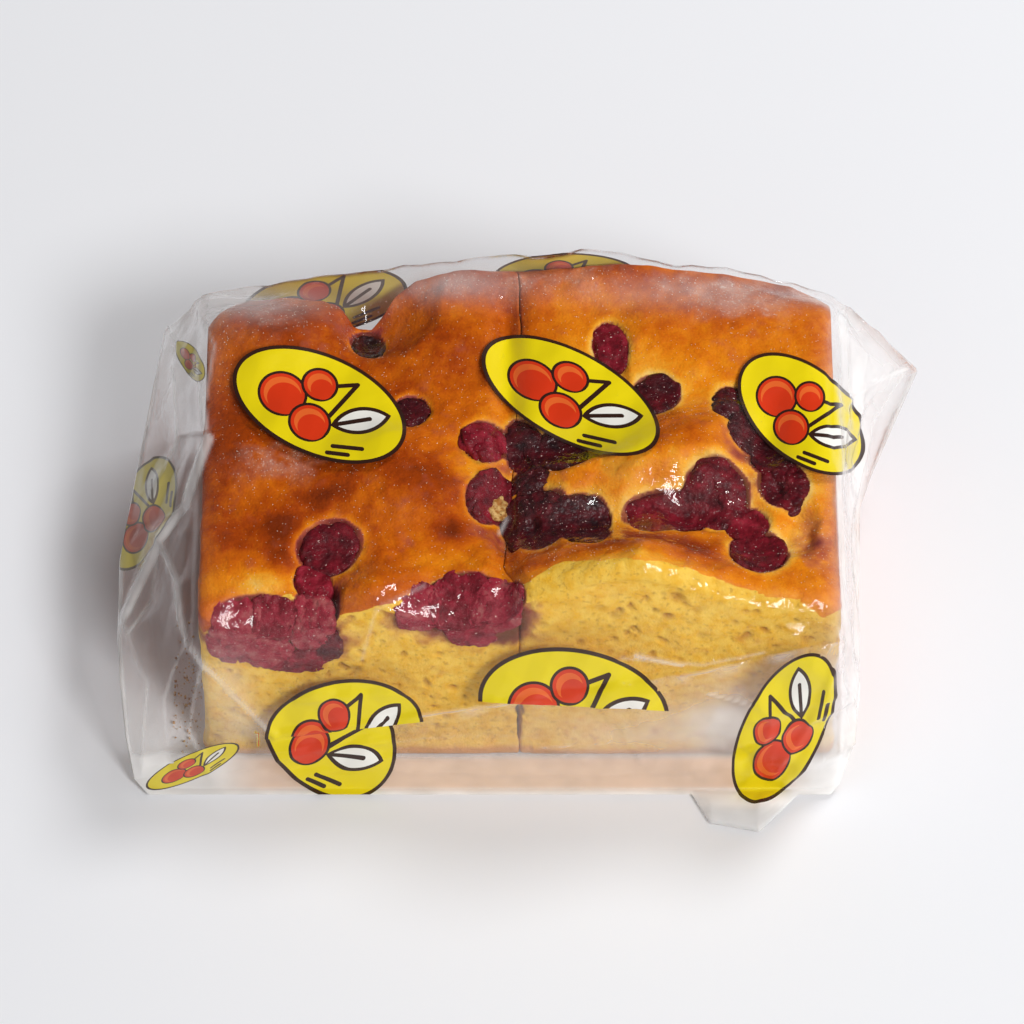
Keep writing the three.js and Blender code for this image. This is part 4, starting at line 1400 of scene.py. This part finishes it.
def build_cherries(material):
    """All cherries in one mesh: whole ones sunk in the crust, and cut ones at the front."""
    directions = ball_directions(*CHERRY_BALL)
    faces = ball_faces(*CHERRY_BALL)
    all_points, all_faces, tones = [], [], []
    for seed, cherry in enumerate(CHERRIES.values()):
        x, y, across, along_y, up, turn, _, tone, pit = cherry
        points = cherry_shape(directions, (across, along_y, up), turn, seed + 1, pit)
        points = points * CHERRY_SWELL + np.array([x, y, 0])
        points[:, 2] += top_plane(points[:, 0], points[:, 1], cherry) - up
        keep_under_film(points, FILM_GAP, CHERRY_UNDER_CRUST)
        all_points.append(points)
        tones.append(np.full(len(points), tone))
    for seed, (x, y, z, across, along_y, up, turn, tone) in enumerate(CUT_CHERRIES.values()):
        points = cherry_shape(directions, (across, along_y, up), turn, seed + CUT_SEED, False)
        points += np.array([x, y, z])
        cut = front_face_y(points[:, 2]) - CUT_PROUD
        deep = np.maximum(cut - points[:, 1], 0)
        points[:, 1] = np.where(deep > 0, cut - CUT_BULGE * np.sqrt(deep), points[:, 1])
        folds = np.minimum(np.abs(uneven(points, "cut folds")), 1)
        points[:, 1] += CUT_FOLDS * folds * (deep > 0)
        keep_under_film(points, FILM_GAP, CHERRY_UNDER_CRUST, CUT_FOLDS * folds)
        all_points.append(points)
        tones.append(np.full(len(points), tone))
    for index, points in enumerate(all_points):
        all_faces += [[v + index * len(points) for v in face] for face in faces]
    cherries = make_object("cherries", np.concatenate(all_points), all_faces, material)
    give(cherries, "tone", np.concatenate(tones))
    return cherries


def build_crumb_chunk(material):
    """A lump of crumb on the cherry beside the seam, pressed by the film."""
    directions = ball_directions(*CHUNK_BALL)
    radius = 1 + uneven(directions, "chunk") + uneven(directions, "chunk grain")
    x, y = CHUNK_AT
    level = float(film_over_crust(np.array(x), np.array(y))) - FILM_GAP
    points = directions * radius[:, None] * np.array(CHUNK_SIZES)
    points = points + np.array([x, y, level - CHUNK_DROP])
    keep_under_film(points, FILM_GAP / 2)
    return make_object("crumb_chunk", points, ball_faces(*CHUNK_BALL), material)


def scattered(name, centres, sizes, seed, material):
    """Small irregular grains in one mesh: each an eight-sided stone with its own turn."""
    rng = np.random.default_rng(seed)
    corners = np.array(
        [[1, 0, 0], [0, 1, 0], [-1, 0, 0], [0, -1, 0], [0, 0, 1], [0, 0, -1]], float)
    sides = np.array([
        [0, 1, 4], [1, 2, 4], [2, 3, 4], [3, 0, 4], [1, 0, 5], [2, 1, 5], [3, 2, 5], [0, 3, 5],
    ])
    count = len(centres)
    stretch = rng.uniform(*GRAIN_STRETCH, (count, len(corners), 1))
    turns = rng.normal(size=(count, 4))
    w, x, y, z = (turns / np.linalg.norm(turns, axis=1, keepdims=True)).T
    turned = np.stack([
        np.stack([1 - 2 * (y * y + z * z), 2 * (x * y - z * w), 2 * (x * z + y * w)], -1),
        np.stack([2 * (x * y + z * w), 1 - 2 * (x * x + z * z), 2 * (y * z - x * w)], -1),
        np.stack([2 * (x * z - y * w), 2 * (y * z + x * w), 1 - 2 * (x * x + y * y)], -1),
    ], 1)
    shape = np.einsum("nij,nkj->nki", turned, corners * stretch * np.asarray(sizes)[:, None, None])
    points = (np.asarray(centres)[:, None] + shape).reshape(-1, 3)
    faces = (sides[None] + len(corners) * np.arange(count)[:, None, None]).reshape(-1, 3)
    return make_object(name, points, faces.tolist(), material, smooth=False)


def build_sugar(material):
    """Fine pale grains on the crust, thicker on the whitish spots of sugar frost and painted sheen.
    """
    rng = np.random.default_rng(SUGAR_SEED)
    x = rng.uniform(*SUGAR_X, SUGAR_TRIES)
    y = rng.uniform(*SUGAR_Y, SUGAR_TRIES)
    chance = SUGAR_EVERYWHERE + SUGAR_ON_FROST * spot_sum(x, y, FROST_AND_SHEEN_SPOTS)
    keep = rng.uniform(0, 1, SUGAR_TRIES) < chance
    x, y = x[keep], y[keep]
    size = rng.uniform(*SUGAR_SIZE, len(x))
    z = crust_height(x, y) + SUGAR_LIFT * size
    return scattered("sugar", np.stack([x, y, z], 1), size, SUGAR_SEED + 1, material)


def build_loose_crumbs(material):
    """Crumbs that fell off and lie on the lower film to the left of the slices."""
    rng = np.random.default_rng(CRUMB_SEED)
    place = rng.normal(size=(CRUMB_COUNT, 2)) * np.array(CRUMB_SPREAD) + np.array(CRUMB_MIDDLE)
    size = rng.uniform(*CRUMB_SIZE, CRUMB_COUNT) ** CRUMB_SIZE_POWER * CRUMB_SIZE_SCALE
    x = np.clip(place[:, 0], *CRUMB_X)
    y = np.clip(place[:, 1], *CRUMB_Y)
    centres = np.stack([x, y, CRUMB_LIFT + size], 1)
    return scattered("loose_crumbs", centres, size, CRUMB_SEED + 1, material)


# ---------------------------------------------------------------- materials
# Noise in the materials: size of its features in millimetres, and detail
GRAINS = {
    "speckle": (0.5, 2.0),
    "mottle": (2.2, 3.0),
    "patches": (5.0, 2.0),
    "frost": (0.7, 1.0),
    "small pore shade": (0.85, 1.0),
    "cherry tone": (2.4, 3.0),
    "cherry sheen": (1.6, 3.0),
    "cherry glints": (0.42, 1.0),
    "cherry wrinkles": (1.3, 3.0),
    "loose crumb": (0.9, 3.0),
    "sugar": (0.8, 1.0),
    "film cloud": (7.0, 1.0),
    "film crinkle": (1.6, 2.0),
    "film wave": (4.5, 2.0),
}
# Values between which one look goes over into another
BLENDS = {
    "frost": (0.56, 0.72),
    "frost patches": (0.40, 0.66),
    "crumb": (0.30, 0.75),
    "small pore shade": (0.62, 0.70),
    "crumb edge": (0.35, 0.65),
    "juice edge": (0.10, 0.80),
    "cherry sheen": (0.52, 0.80),
    "cherry glints": (0.72, 0.76),
    "loose crumb": (0.36, 0.66),
    "sugar": (0.36, 0.60),
}
# How much noise moves the bake, the edges of crumb and juice, and the tones
BAKE_MOTTLE = 0.28
BAKE_SPECKLE = 0.16
CRUMB_EDGE_WANDER = 0.5
JUICE_EDGE_WANDER = 0.4
JUICE_TONE_WANDER = 0.5
CHERRY_TONE_WANDER = 1.0
# Grain of the whitish frost of sugar dust and painted sheen
FROST_AND_SHEEN_GRAIN_SHARE = 0.6
FROST_AND_SHEEN_LEAST = 0.35
# Shares of painted shade in the crumb's pores
SMALL_PORE_SHADE_SHARE = 0.34
PORE_SHADE_SHARE = 0.75
MOST_PORE_SHADE_SHARE = 0.85
JUICE_COVER = 0.92
# Share of painted sheen over the cherries
CHERRY_SHEEN_COVER = 0.14
SPECKLE_RELIEF = 0.5
CLOUD_SWING = 0.7
CLOUD_LEAST = 0.65
CRINKLE_RELIEF = 0.35
# Relief of the surfaces: strength and height in millimetres
CAKE_RELIEF = (0.8, 0.45)
CHERRY_RELIEF = (0.9, 0.9)
CRUMB_RELIEF = (1.0, 0.8)
FILM_RELIEF = (0.6, 0.9)
CRUST_ROUGHNESS = 0.42
INSIDE_ROUGHNESS = 0.72
CAKE_SHINE = 0.12
CHERRY_ROUGHNESS = 0.5
CHERRY_SHINE = 0.14
CHERRY_WET = 0.55
CHERRY_WET_POWER = 2.0
CHERRY_COAT_ROUGHNESS = 0.12
LOOSE_CRUMB_ROUGHNESS = 0.6
SUGAR_ROUGHNESS = 0.5


def node(tree, kind, inputs=None, **settings):
    """A shader node. Its inputs are plain values or the outputs of other nodes."""
    made = tree.nodes.new(kind)
    for key, value in settings.items():
        setattr(made, key, value)
    for key, value in (inputs or {}).items():
        if isinstance(value, bpy.types.NodeSocket):
            tree.links.new(value, made.inputs[key])
        else:
            made.inputs[key].default_value = value
    return made


def calc(tree, operation, first, second=0.0, third=0.0, clamp=False):
    """Output of a math node."""
    inputs = {0: first, 1: second, 2: third}
    return node(tree, "ShaderNodeMath", inputs, operation=operation, use_clamp=clamp).outputs[0]


def attribute(tree, name):
    """Output with a number that the mesh holds for each point."""
    return node(tree, "ShaderNodeAttribute", attribute_name=name).outputs["Fac"]


def noise(tree, kind):
    """Output 0..1 of a named noise."""
    size, detail = GRAINS[kind]
    where = node(tree, "ShaderNodeTexCoord").outputs["Object"]
    inputs = {"Vector": where, "Scale": 1 / (size * MM), "Detail": detail}
    return node(tree, "ShaderNodeTexNoise", inputs).outputs["Fac"]


def centred(tree, value, amount):
    """(value - 0.5) times an amount."""
    return calc(tree, "MULTIPLY", calc(tree, "SUBTRACT", value, 0.5), amount)


def ramp(tree, value, stops):
    """Colour by stops of place and linear colour."""
    made = node(tree, "ShaderNodeValToRGB", {"Fac": value})
    elements = made.color_ramp.elements
    while len(elements) < len(stops):
        elements.new(0.5)
    for element, (place, colour) in zip(elements, stops):
        element.position = place
        element.color = (*colour, 1)
    return made.outputs["Color"]


# Sockets of a mix node: share, first and second, and the result, for colours and for vectors
MIX_COLOUR_INPUTS = (0, 6, 7)
MIX_COLOUR_OUTPUT = 2
MIX_VECTOR_INPUTS = (0, 4, 5)
MIX_VECTOR_OUTPUT = 1


def mixed(tree, share, first, second):
    """Colour between two colours."""
    made = node(tree, "ShaderNodeMix", data_type="RGBA")
    for index, value in zip(MIX_COLOUR_INPUTS, (share, first, second)):
        if isinstance(value, bpy.types.NodeSocket):
            tree.links.new(value, made.inputs[index])
        else:
            made.inputs[index].default_value = (*value, 1)
    return made.outputs[MIX_COLOUR_OUTPUT]


def step_up(tree, value, start, end):
    """0 below start, 1 above end, smooth between."""
    inputs = {"Value": value, "From Min": start, "From Max": end}
    made = node(tree, "ShaderNodeMapRange", inputs, interpolation_type="SMOOTHSTEP")
    return made.outputs["Result"]


def blend(tree, value, kind):
    """Share 0..1 of a named blend."""
    return step_up(tree, value, *BLENDS[kind])


def moved(tree, name, grain, amount):
    """A number that the mesh holds, moved up and down by noise."""
    return calc(tree, "ADD", attribute(tree, name), centred(tree, grain, amount))


def bumped(tree, height, relief):
    """Normal bent by a height, with the strength and the millimetres of a relief."""
    strength, distance = relief
    inputs = {"Height": height, "Strength": strength, "Distance": distance * MM}
    return node(tree, "ShaderNodeBump", inputs).outputs[0]


def vector(tree, operation, first, second):
    """Vector that a vector math node gives."""
    inputs = {0: first, 1: second}
    return node(tree, "ShaderNodeVectorMath", inputs, operation=operation).outputs["Vector"]


def measure(tree, operation, first, second=(0, 0, 0)):
    """Number that a vector math node gives."""
    inputs = {0: first, 1: second}
    return node(tree, "ShaderNodeVectorMath", inputs, operation=operation).outputs["Value"]


def new_tree(name):
    """An empty material and its node tree."""
    material = bpy.data.materials.new(name)
    material.use_nodes = True
    material.node_tree.nodes.clear()
    return material, material.node_tree


def finish_surface(tree, shader):
    """Put a shader on the material's surface."""
    node(tree, "ShaderNodeOutputMaterial", {"Surface": shader})


def finish_principled(tree, inputs):
    """Put a principled shader with some inputs on the material's surface."""
    finish_surface(tree, node(tree, "ShaderNodeBsdfPrincipled", inputs).outputs[0])


# Colours are linear
CRUST_STOPS = [
    (0.00, (0.84, 0.53, 0.13)), (0.16, (0.84, 0.38, 0.030)), (0.34, (0.74, 0.225, 0.006)),
    (0.52, (0.56, 0.120, 0.003)), (0.70, (0.35, 0.050, 0.002)), (0.90, (0.17, 0.022, 0.002)),
]
CRUMB_LIGHT = (0.87, 0.56, 0.080)
CRUMB_DEEP = (0.81, 0.43, 0.020)
# Dark brown of painted shade in the crumb's pores, also the brown specks of loose crumbs
PORE_SHADE_AND_SPECK_COLOUR = (0.34, 0.12, 0.008)
JUICE_STOPS = [
    (0.0, (0.60, 0.25, 0.17)), (0.45, (0.30, 0.045, 0.055)), (1.0, (0.10, 0.008, 0.014)),
]
BASE_COLOUR = (0.70, 0.33, 0.09)
# Whitish colour of sugar frost and painted sheen
FROST_AND_SHEEN_COLOUR = (0.80, 0.70, 0.62)
CHERRY_STOPS = [
    (0.0, (0.016, 0.003, 0.005)), (0.3, (0.070, 0.004, 0.008)), (0.55, (0.160, 0.006, 0.014)),
    (0.8, (0.300, 0.018, 0.036)), (1.0, (0.360, 0.090, 0.090)),
]
LOOSE_CRUMB_COLOUR = (0.66, 0.42, 0.15)
SUGAR_TAN = (0.74, 0.56, 0.38)
SUGAR_PALE = (0.90, 0.84, 0.75)
# Pale spots on the cherries, painted glints
CHERRY_GLINT_COLOUR = (0.75, 0.55, 0.50)
# Pale veil over the cherries: painted sheen
CHERRY_SHEEN_COLOUR = (0.34, 0.12, 0.12)


def slice_material():
    """Crust, crumb, juice and whitish frost of sugar dust and painted sheen, blended by the numbers
    that the mesh holds, with fine noise for the baked speckle and the crumb, and painted shade in
    the crumb's pores."""
    material, tree = new_tree("crust")
    speckle, mottle, patches = (noise(tree, kind) for kind in ("speckle", "mottle", "patches"))
    bake = moved(tree, "bake", mottle, BAKE_MOTTLE)
    bake = calc(tree, "ADD", bake, centred(tree, speckle, BAKE_SPECKLE))
    crust = ramp(tree, bake, CRUST_STOPS)
    # Whitish frost: sugar dust, and painted sheen of the film where it lies on the crust
    frost_and_sheen_share = calc(tree, "MULTIPLY", attribute(tree, "frost"), blend(tree, patches, "frost patches"))
    grain = blend(tree, noise(tree, "frost"), "frost")
    grain = calc(tree, "MULTIPLY_ADD", grain, FROST_AND_SHEEN_GRAIN_SHARE, FROST_AND_SHEEN_LEAST)
    frost_and_sheen_share = calc(tree, "MULTIPLY", frost_and_sheen_share, grain, clamp=True)
    crust = mixed(tree, frost_and_sheen_share, crust, FROST_AND_SHEEN_COLOUR)
    crumb = mixed(tree, blend(tree, mottle, "crumb"), CRUMB_LIGHT, CRUMB_DEEP)
    # Painted shade in the crumb's pores: fine ones from noise alone, large ones by the depth of the
    # pores in the mesh
    small = blend(tree, noise(tree, "small pore shade"), "small pore shade")
    large = calc(tree, "MULTIPLY", attribute(tree, "pore"), PORE_SHADE_SHARE)
    hole = calc(tree, "MULTIPLY_ADD", small, SMALL_PORE_SHADE_SHARE, large)
    crumb = mixed(tree, calc(tree, "MINIMUM", hole, MOST_PORE_SHADE_SHARE), crumb, PORE_SHADE_AND_SPECK_COLOUR)
    crumb = mixed(tree, attribute(tree, "base"), crumb, BASE_COLOUR)
    inside = blend(tree, moved(tree, "crumb", mottle, CRUMB_EDGE_WANDER), "crumb edge")
    cake = mixed(tree, inside, crust, crumb)
    wet = blend(tree, moved(tree, "juice", mottle, JUICE_EDGE_WANDER), "juice edge")
    juice = ramp(tree, moved(tree, "juice", patches, JUICE_TONE_WANDER), JUICE_STOPS)
    colour = mixed(tree, calc(tree, "MULTIPLY", wet, JUICE_COVER), cake, juice)
    relief = calc(tree, "MULTIPLY_ADD", speckle, SPECKLE_RELIEF, mottle)
    inputs = {"Value": inside, "To Min": CRUST_ROUGHNESS, "To Max": INSIDE_ROUGHNESS}
    roughness = node(tree, "ShaderNodeMapRange", inputs).outputs["Result"]
    finish_principled(tree, {
        "Base Color": colour, "Roughness": roughness, "Specular IOR Level": CAKE_SHINE,
        "Normal": bumped(tree, relief, CAKE_RELIEF),
    })
    return material


def cherry_material():
    """Cooked cherry: crimson to black by tone, wet, with a faint pale painted sheen and tiny
    painted glints.
    """
    material, tree = new_tree("cherry")
    tone = moved(tree, "tone", noise(tree, "cherry tone"), CHERRY_TONE_WANDER)
    colour = ramp(tree, tone, CHERRY_STOPS)
    # Pale patches on the cherries: painted sheen
    painted_sheen = blend(tree, noise(tree, "cherry sheen"), "cherry sheen")
    colour = mixed(tree, calc(tree, "MULTIPLY", painted_sheen, CHERRY_SHEEN_COVER), colour, CHERRY_SHEEN_COLOUR)
    # Tiny pale spots on the cherries: painted glints
    specks = blend(tree, noise(tree, "cherry glints"), "cherry glints")
    colour = mixed(tree, specks, colour, CHERRY_GLINT_COLOUR)
    normal = bumped(tree, noise(tree, "cherry wrinkles"), CHERRY_RELIEF)
    dark = calc(tree, "SUBTRACT", 1.0, attribute(tree, "tone"))
    wet = calc(tree, "MULTIPLY", calc(tree, "POWER", dark, CHERRY_WET_POWER), CHERRY_WET)
    finish_principled(tree, {
        "Base Color": colour, "Roughness": CHERRY_ROUGHNESS, "Specular IOR Level": CHERRY_SHINE,
        "Normal": normal, "Coat Weight": wet, "Coat Normal": normal,
        "Coat Roughness": CHERRY_COAT_ROUGHNESS,
    })
    return material


def loose_crumb_material():
    """Crumb broken off the slices: grainy, yellow with brown specks."""
    material, tree = new_tree("crumb")
    grain = noise(tree, "loose crumb")
    colour = mixed(tree, blend(tree, grain, "loose crumb"), PORE_SHADE_AND_SPECK_COLOUR, LOOSE_CRUMB_COLOUR)
    finish_principled(tree, {
        "Base Color": colour, "Roughness": LOOSE_CRUMB_ROUGHNESS,
        "Normal": bumped(tree, grain, CRUMB_RELIEF),
    })
    return material


def sugar_material():
    """Sugar and fine crumb: each grain between tan and near white."""
    material, tree = new_tree("sugar")
    colour = mixed(tree, blend(tree, noise(tree, "sugar"), "sugar"), SUGAR_TAN, SUGAR_PALE)
    finish_principled(tree, {"Base Color": colour, "Roughness": SUGAR_ROUGHNESS})
    return material


def plain_material(name, colour, roughness):
    """One colour and one roughness."""
    material, tree = new_tree(name)
    finish_principled(tree, {"Base Color": (*colour, 1), "Roughness": roughness})
    return material


# How the film mirrors: head on, how it grows towards grazing, and the setting of the layer
# weight node at which it gives 1 - cos
MIRROR_HEAD_ON = 0.02
MIRROR_POWER = 5.0
MIRROR_FACING = 0.5
FILM_ROUGHNESS = 0.06
LAYER_ROUGHNESS = 0.45
LAYER_SHINE = 0.3
PRINT_COVER = 0.97
HAZE_COLOUR = (0.95, 0.94, 0.93)
# Tint of the painted reflection of the cake in the lower front film
CAKE_REFLECTION_COLOUR = (0.92, 0.66, 0.50)
PRINT_YELLOW = (0.80, 0.64, 0.003)
PRINT_RED = (0.66, 0.036, 0.006)
PRINT_DARK = (0.030, 0.010, 0.006)
PRINT_PALE = (0.86, 0.84, 0.78)
PRINT_LIGHT = (0.78, 0.13, 0.022)
# Grey of the painted shade and haze over some ovals
PRINT_SHADE_GREY = (0.34, 0.31, 0.27)
PRINT_ASPECT = 1.6
RIM_WIDTH = 0.075
# The generic motif in the ovals: three berries, a pale leaf, and strokes for stems and dashes
FRUITS = [((-0.66, -0.10), 0.44), ((-0.02, -0.40), 0.38), ((-0.14, 0.36), 0.33)]
FRUIT_SHINE = 0.07
LEAF = [((0.50, 0.40), 0.66), ((1.04, -0.32), 0.66)]
STROKES = [
    ((0.46, 0.66), (0.16, 0.48)), ((0.46, 0.66), (0.24, -0.14)), ((0.39, -0.24), (0.90, 0.14)),
    ((0.52, -0.64), (1.00, -0.46)), ((0.48, -0.80), (0.82, -0.68)),
]
LINE = 0.05
# Share of a line's width in the strokes, and the pale edge, ring and crescent of the motif
THIN_LINE = 0.8
LEAF_EDGE = 0.02
FRUIT_RING = 0.06
FRUIT_CRESCENT = 0.08


def ring_distance(tree, where, centre):
    """Distance from a centre on the print."""
    return measure(tree, "DISTANCE", where, (*centre, 0))


def within(tree, distance, reach):
    """1 where a distance is less than a reach."""
    return calc(tree, "LESS_THAN", distance, reach)


def bar_distance(tree, where, start, end):
    """Distance from a straight bar: |p - a - clamp((p - a).(b - a)/|b - a|^2) (b - a)|."""
    way = (end[0] - start[0], end[1] - start[1], 0)
    scale = way[0] ** 2 + way[1] ** 2
    from_start = vector(tree, "SUBTRACT", where, (*start, 0))
    dot = measure(tree, "DOT_PRODUCT", from_start, way)
    share = calc(tree, "DIVIDE", dot, scale, clamp=True)
    inputs = {0: way, "Scale": share}
    reach = node(tree, "ShaderNodeVectorMath", inputs, operation="SCALE").outputs["Vector"]
    return measure(tree, "DISTANCE", from_start, reach)


def over_clear(tree, cover, colour):
    """A satin layer of a colour that covers a share of what lies behind it."""
    clear = node(tree, "ShaderNodeBsdfTransparent").outputs[0]
    inputs = {"Base Color": colour, "Roughness": LAYER_ROUGHNESS, "Specular IOR Level": LAYER_SHINE}
    layer = node(tree, "ShaderNodeBsdfPrincipled", inputs).outputs[0]
    return node(tree, "ShaderNodeMixShader", {0: cover, 1: clear, 2: layer}).outputs[0]


def print_colour(tree, place, radius):
    """Colour of the print at a place in an oval: the motif on yellow, a dark rim of even
    width, and grey over some ovals as painted shade and haze of the film before them."""
    where = vector(tree, "MULTIPLY", place, (PRINT_ASPECT, 1, 1))
    reach = LEAF[0][1]
    lens = calc(tree, "MAXIMUM", *(ring_distance(tree, where, centre) for centre, _ in LEAF))
    colour = mixed(tree, within(tree, lens, reach + LINE), PRINT_YELLOW, PRINT_DARK)
    colour = mixed(tree, within(tree, lens, reach - LEAF_EDGE), colour, PRINT_PALE)
    for start, end in STROKES:
        stroke = within(tree, bar_distance(tree, where, start, end), LINE * THIN_LINE)
        colour = mixed(tree, stroke, colour, PRINT_DARK)
    for centre, size in FRUITS:
        away = ring_distance(tree, where, centre)
        low = ring_distance(tree, where, (centre[0] + FRUIT_SHINE, centre[1] - FRUIT_SHINE))
        size_inside = size - LINE
        colour = mixed(tree, within(tree, away, size), colour, PRINT_DARK)
        colour = mixed(tree, within(tree, away, size_inside), colour, PRINT_RED)
        colour = mixed(tree, within(tree, away, size_inside - FRUIT_RING), colour, PRINT_LIGHT)
        colour = mixed(tree, within(tree, low, size_inside - FRUIT_CRESCENT), colour, PRINT_RED)
    slope = measure(tree, "LENGTH", vector(tree, "MULTIPLY", place, (1 / PRINT_ASPECT, 1, 1)))
    rim = calc(tree, "GREATER_THAN", radius, calc(tree, "MULTIPLY_ADD", slope, -RIM_WIDTH, 1.0))
    colour = mixed(tree, rim, colour, PRINT_DARK)
    # Grey over some ovals: painted shade and haze
    return mixed(tree, attribute(tree, "shade_and_haze"), colour, PRINT_SHADE_GREY)


def film_material():
    """Clear film: sees through except for haze and print, and mirrors by Schlick's rule
    f = f0 + (1 - f0) (1 - cos)^5."""
    material, tree = new_tree("film")
    upper_place = node(tree, "ShaderNodeUVMap", uv_map="print").outputs[0]
    under_place = node(tree, "ShaderNodeUVMap", uv_map="print_under").outputs[0]
    fold = attribute(tree, "fold")
    above = calc(tree, "GREATER_THAN", fold, 0.0)
    chosen = node(tree, "ShaderNodeMix", data_type="VECTOR")
    for index, value in zip(MIX_VECTOR_INPUTS, (above, under_place, upper_place)):
        tree.links.new(value, chosen.inputs[index])
    place = chosen.outputs[MIX_VECTOR_OUTPUT]
    radius = measure(tree, "LENGTH", place)
    colour = print_colour(tree, place, radius)
    shown = calc(tree, "GREATER_THAN", fold, LEAST_FOLD)
    inked = calc(tree, "MULTIPLY", within(tree, radius, 1.0), shown)
    # White haze, tinted near the bottom by the painted reflection of the cake
    milk = mixed(tree, attribute(tree, "cake_reflection"), HAZE_COLOUR, CAKE_REFLECTION_COLOUR)
    cloud = calc(tree, "MULTIPLY_ADD", noise(tree, "film cloud"), CLOUD_SWING, CLOUD_LEAST)
    haze = calc(tree, "MULTIPLY", attribute(tree, "haze"), cloud, clamp=True)
    milky, printed = over_clear(tree, haze, milk), over_clear(tree, PRINT_COVER, colour)
    under = node(tree, "ShaderNodeMixShader", {0: inked, 1: milky, 2: printed})
    facing = node(tree, "ShaderNodeLayerWeight", {"Blend": MIRROR_FACING}).outputs["Facing"]
    graze = calc(tree, "POWER", facing, MIRROR_POWER)
    graze = calc(tree, "MULTIPLY", graze, 1 - MIRROR_HEAD_ON)
    mirror = calc(tree, "ADD", graze, MIRROR_HEAD_ON)
    wave = noise(tree, "film wave")
    crinkle = calc(tree, "MULTIPLY_ADD", noise(tree, "film crinkle"), CRINKLE_RELIEF, wave)
    gloss = node(tree, "ShaderNodeBsdfGlossy", {
        "Color": (1, 1, 1, 1), "Roughness": FILM_ROUGHNESS,
        "Normal": bumped(tree, crinkle, FILM_RELIEF),
    })
    whole = node(tree, "ShaderNodeMixShader", {0: mirror, 1: under.outputs[0], 2: gloss.outputs[0]})
    finish_surface(tree, whole.outputs[0])
    return material


# ---------------------------------------------------------------- light, floor and camera
FLOOR_Z = -0.2
FLOOR_SIZE = 6000
FLOOR_COLOUR = (0.85, 0.862, 0.895)
FLOOR_ROUGHNESS = 0.9
KEY_WAY = (28, -42, 46)
KEY_DISTANCE = 1900
KEY_SIZE = 560
KEY_POWER = 21.8
TOP_WAY = (30, 32, 55)
TOP_DISTANCE = 1300
TOP_SIZE = 420
TOP_POWER = 7.4
WORLD_STRENGTH = 0.325
WORLD_LEAN = 0.42
WORLD_DARK = 0.05
DARK_WAY = (0, 0.643, 0.766)
DARK_FROM = 0.50
DARK_TO = 0.92
WORLD_COLOUR = (1.0, 0.97, 0.95)


def build_floor():
    """The pale surface that the pack lies on."""
    half = FLOOR_SIZE / 2
    corners = np.array([[-half, -half, FLOOR_Z], [half, -half, FLOOR_Z],
                        [half, half, FLOOR_Z], [-half, half, FLOOR_Z]])
    material = plain_material("floor", FLOOR_COLOUR, FLOOR_ROUGHNESS)
    return make_object("floor", corners, [[0, 1, 2, 3]], material)


def look_from(place, target):
    """Matrix of a lamp or camera at a place that looks at a target."""
    turn = (Vector(target) - Vector(place)).to_track_quat("-Z", "Y").to_matrix().to_4x4()
    return Matrix.Translation(Vector(place)) @ turn


def hang_lamp(name, way, distance, size, power):
    """A round soft lamp at a distance in a direction, turned to the pack."""
    lamp = bpy.data.lights.new(name, "AREA")
    lamp.shape = "DISK"
    lamp.size = size * MM
    lamp.energy = power
    hung = bpy.data.objects.new(name, lamp)
    hung.matrix_world = look_from(Vector(way).normalized() * distance * MM, (0, 0, 0))
    bpy.context.scene.collection.objects.link(hung)
    return hung


def build_lights():
    """A key light from the right in front, a soft one from above the back, and a pale
    surrounding that is darker where the flat film would mirror it."""
    hang_lamp("key", KEY_WAY, KEY_DISTANCE, KEY_SIZE, KEY_POWER)
    top = hang_lamp("top", TOP_WAY, TOP_DISTANCE, TOP_SIZE, TOP_POWER)
    top.visible_glossy = False
    world = bpy.data.worlds.new("world")
    world.use_nodes = True
    tree = world.node_tree
    way_out = node(tree, "ShaderNodeTexCoord").outputs["Generated"]
    facing = measure(tree, "DOT_PRODUCT", way_out, DARK_WAY)
    dark = step_up(tree, facing, DARK_FROM, DARK_TO)
    side = node(tree, "ShaderNodeSeparateXYZ", {0: way_out}).outputs["X"]
    even = calc(tree, "MULTIPLY_ADD", side, WORLD_LEAN * WORLD_STRENGTH, WORLD_STRENGTH)
    light = calc(tree, "SUBTRACT", 1.0, dark)
    strength = calc(tree, "MULTIPLY_ADD", light, even, WORLD_DARK)
    background = tree.nodes["Background"]
    background.inputs["Color"].default_value = (*WORLD_COLOUR, 1)
    tree.links.new(strength, background.inputs["Strength"])
    bpy.context.scene.world = world


def build_camera():
    """Camera of the photograph: looks down at its elevation from the front."""
    away = Vector((0, -math.cos(CAMERA_ELEVATION), math.sin(CAMERA_ELEVATION))) * CAMERA_DISTANCE
    target = Vector((SHIFT[0], CAMERA_TARGET_Y + SHIFT[1], 0))
    data = bpy.data.cameras.new("camera")
    data.sensor_width = SENSOR_WIDTH
    data.lens = PIXELS_PER_MM * CAMERA_DISTANCE / PHOTO_WIDTH * SENSOR_WIDTH
    data.clip_end = CAMERA_FAR_METRES
    camera = bpy.data.objects.new("camera", data)
    camera.matrix_world = look_from((target + away) * MM, target * MM)
    bpy.context.scene.collection.objects.link(camera)
    bpy.context.scene.camera = camera


# ---------------------------------------------------------------- the pack
set_down()
film = build_film(film_material())
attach(film, "root")
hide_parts("bag")

cake = slice_material()
for slice_name, (slice_left, slice_right) in SLICE_SPANS.items():
    piece = build_slice(slice_name, slice_left, slice_right, cake)
    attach(piece, "root")
    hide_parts("bag")

cherries = build_cherries(cherry_material())
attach(cherries, "root")
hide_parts("bag")

crumb = loose_crumb_material()
for piece in (build_crumb_chunk(crumb), build_loose_crumbs(crumb)):
    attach(piece, "root")
    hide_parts("bag")

sugar = build_sugar(sugar_material())
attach(sugar, "root")
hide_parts("bag")

build_floor()
build_lights()
build_camera()
bpy.context.scene.view_settings.view_transform = "Standard"
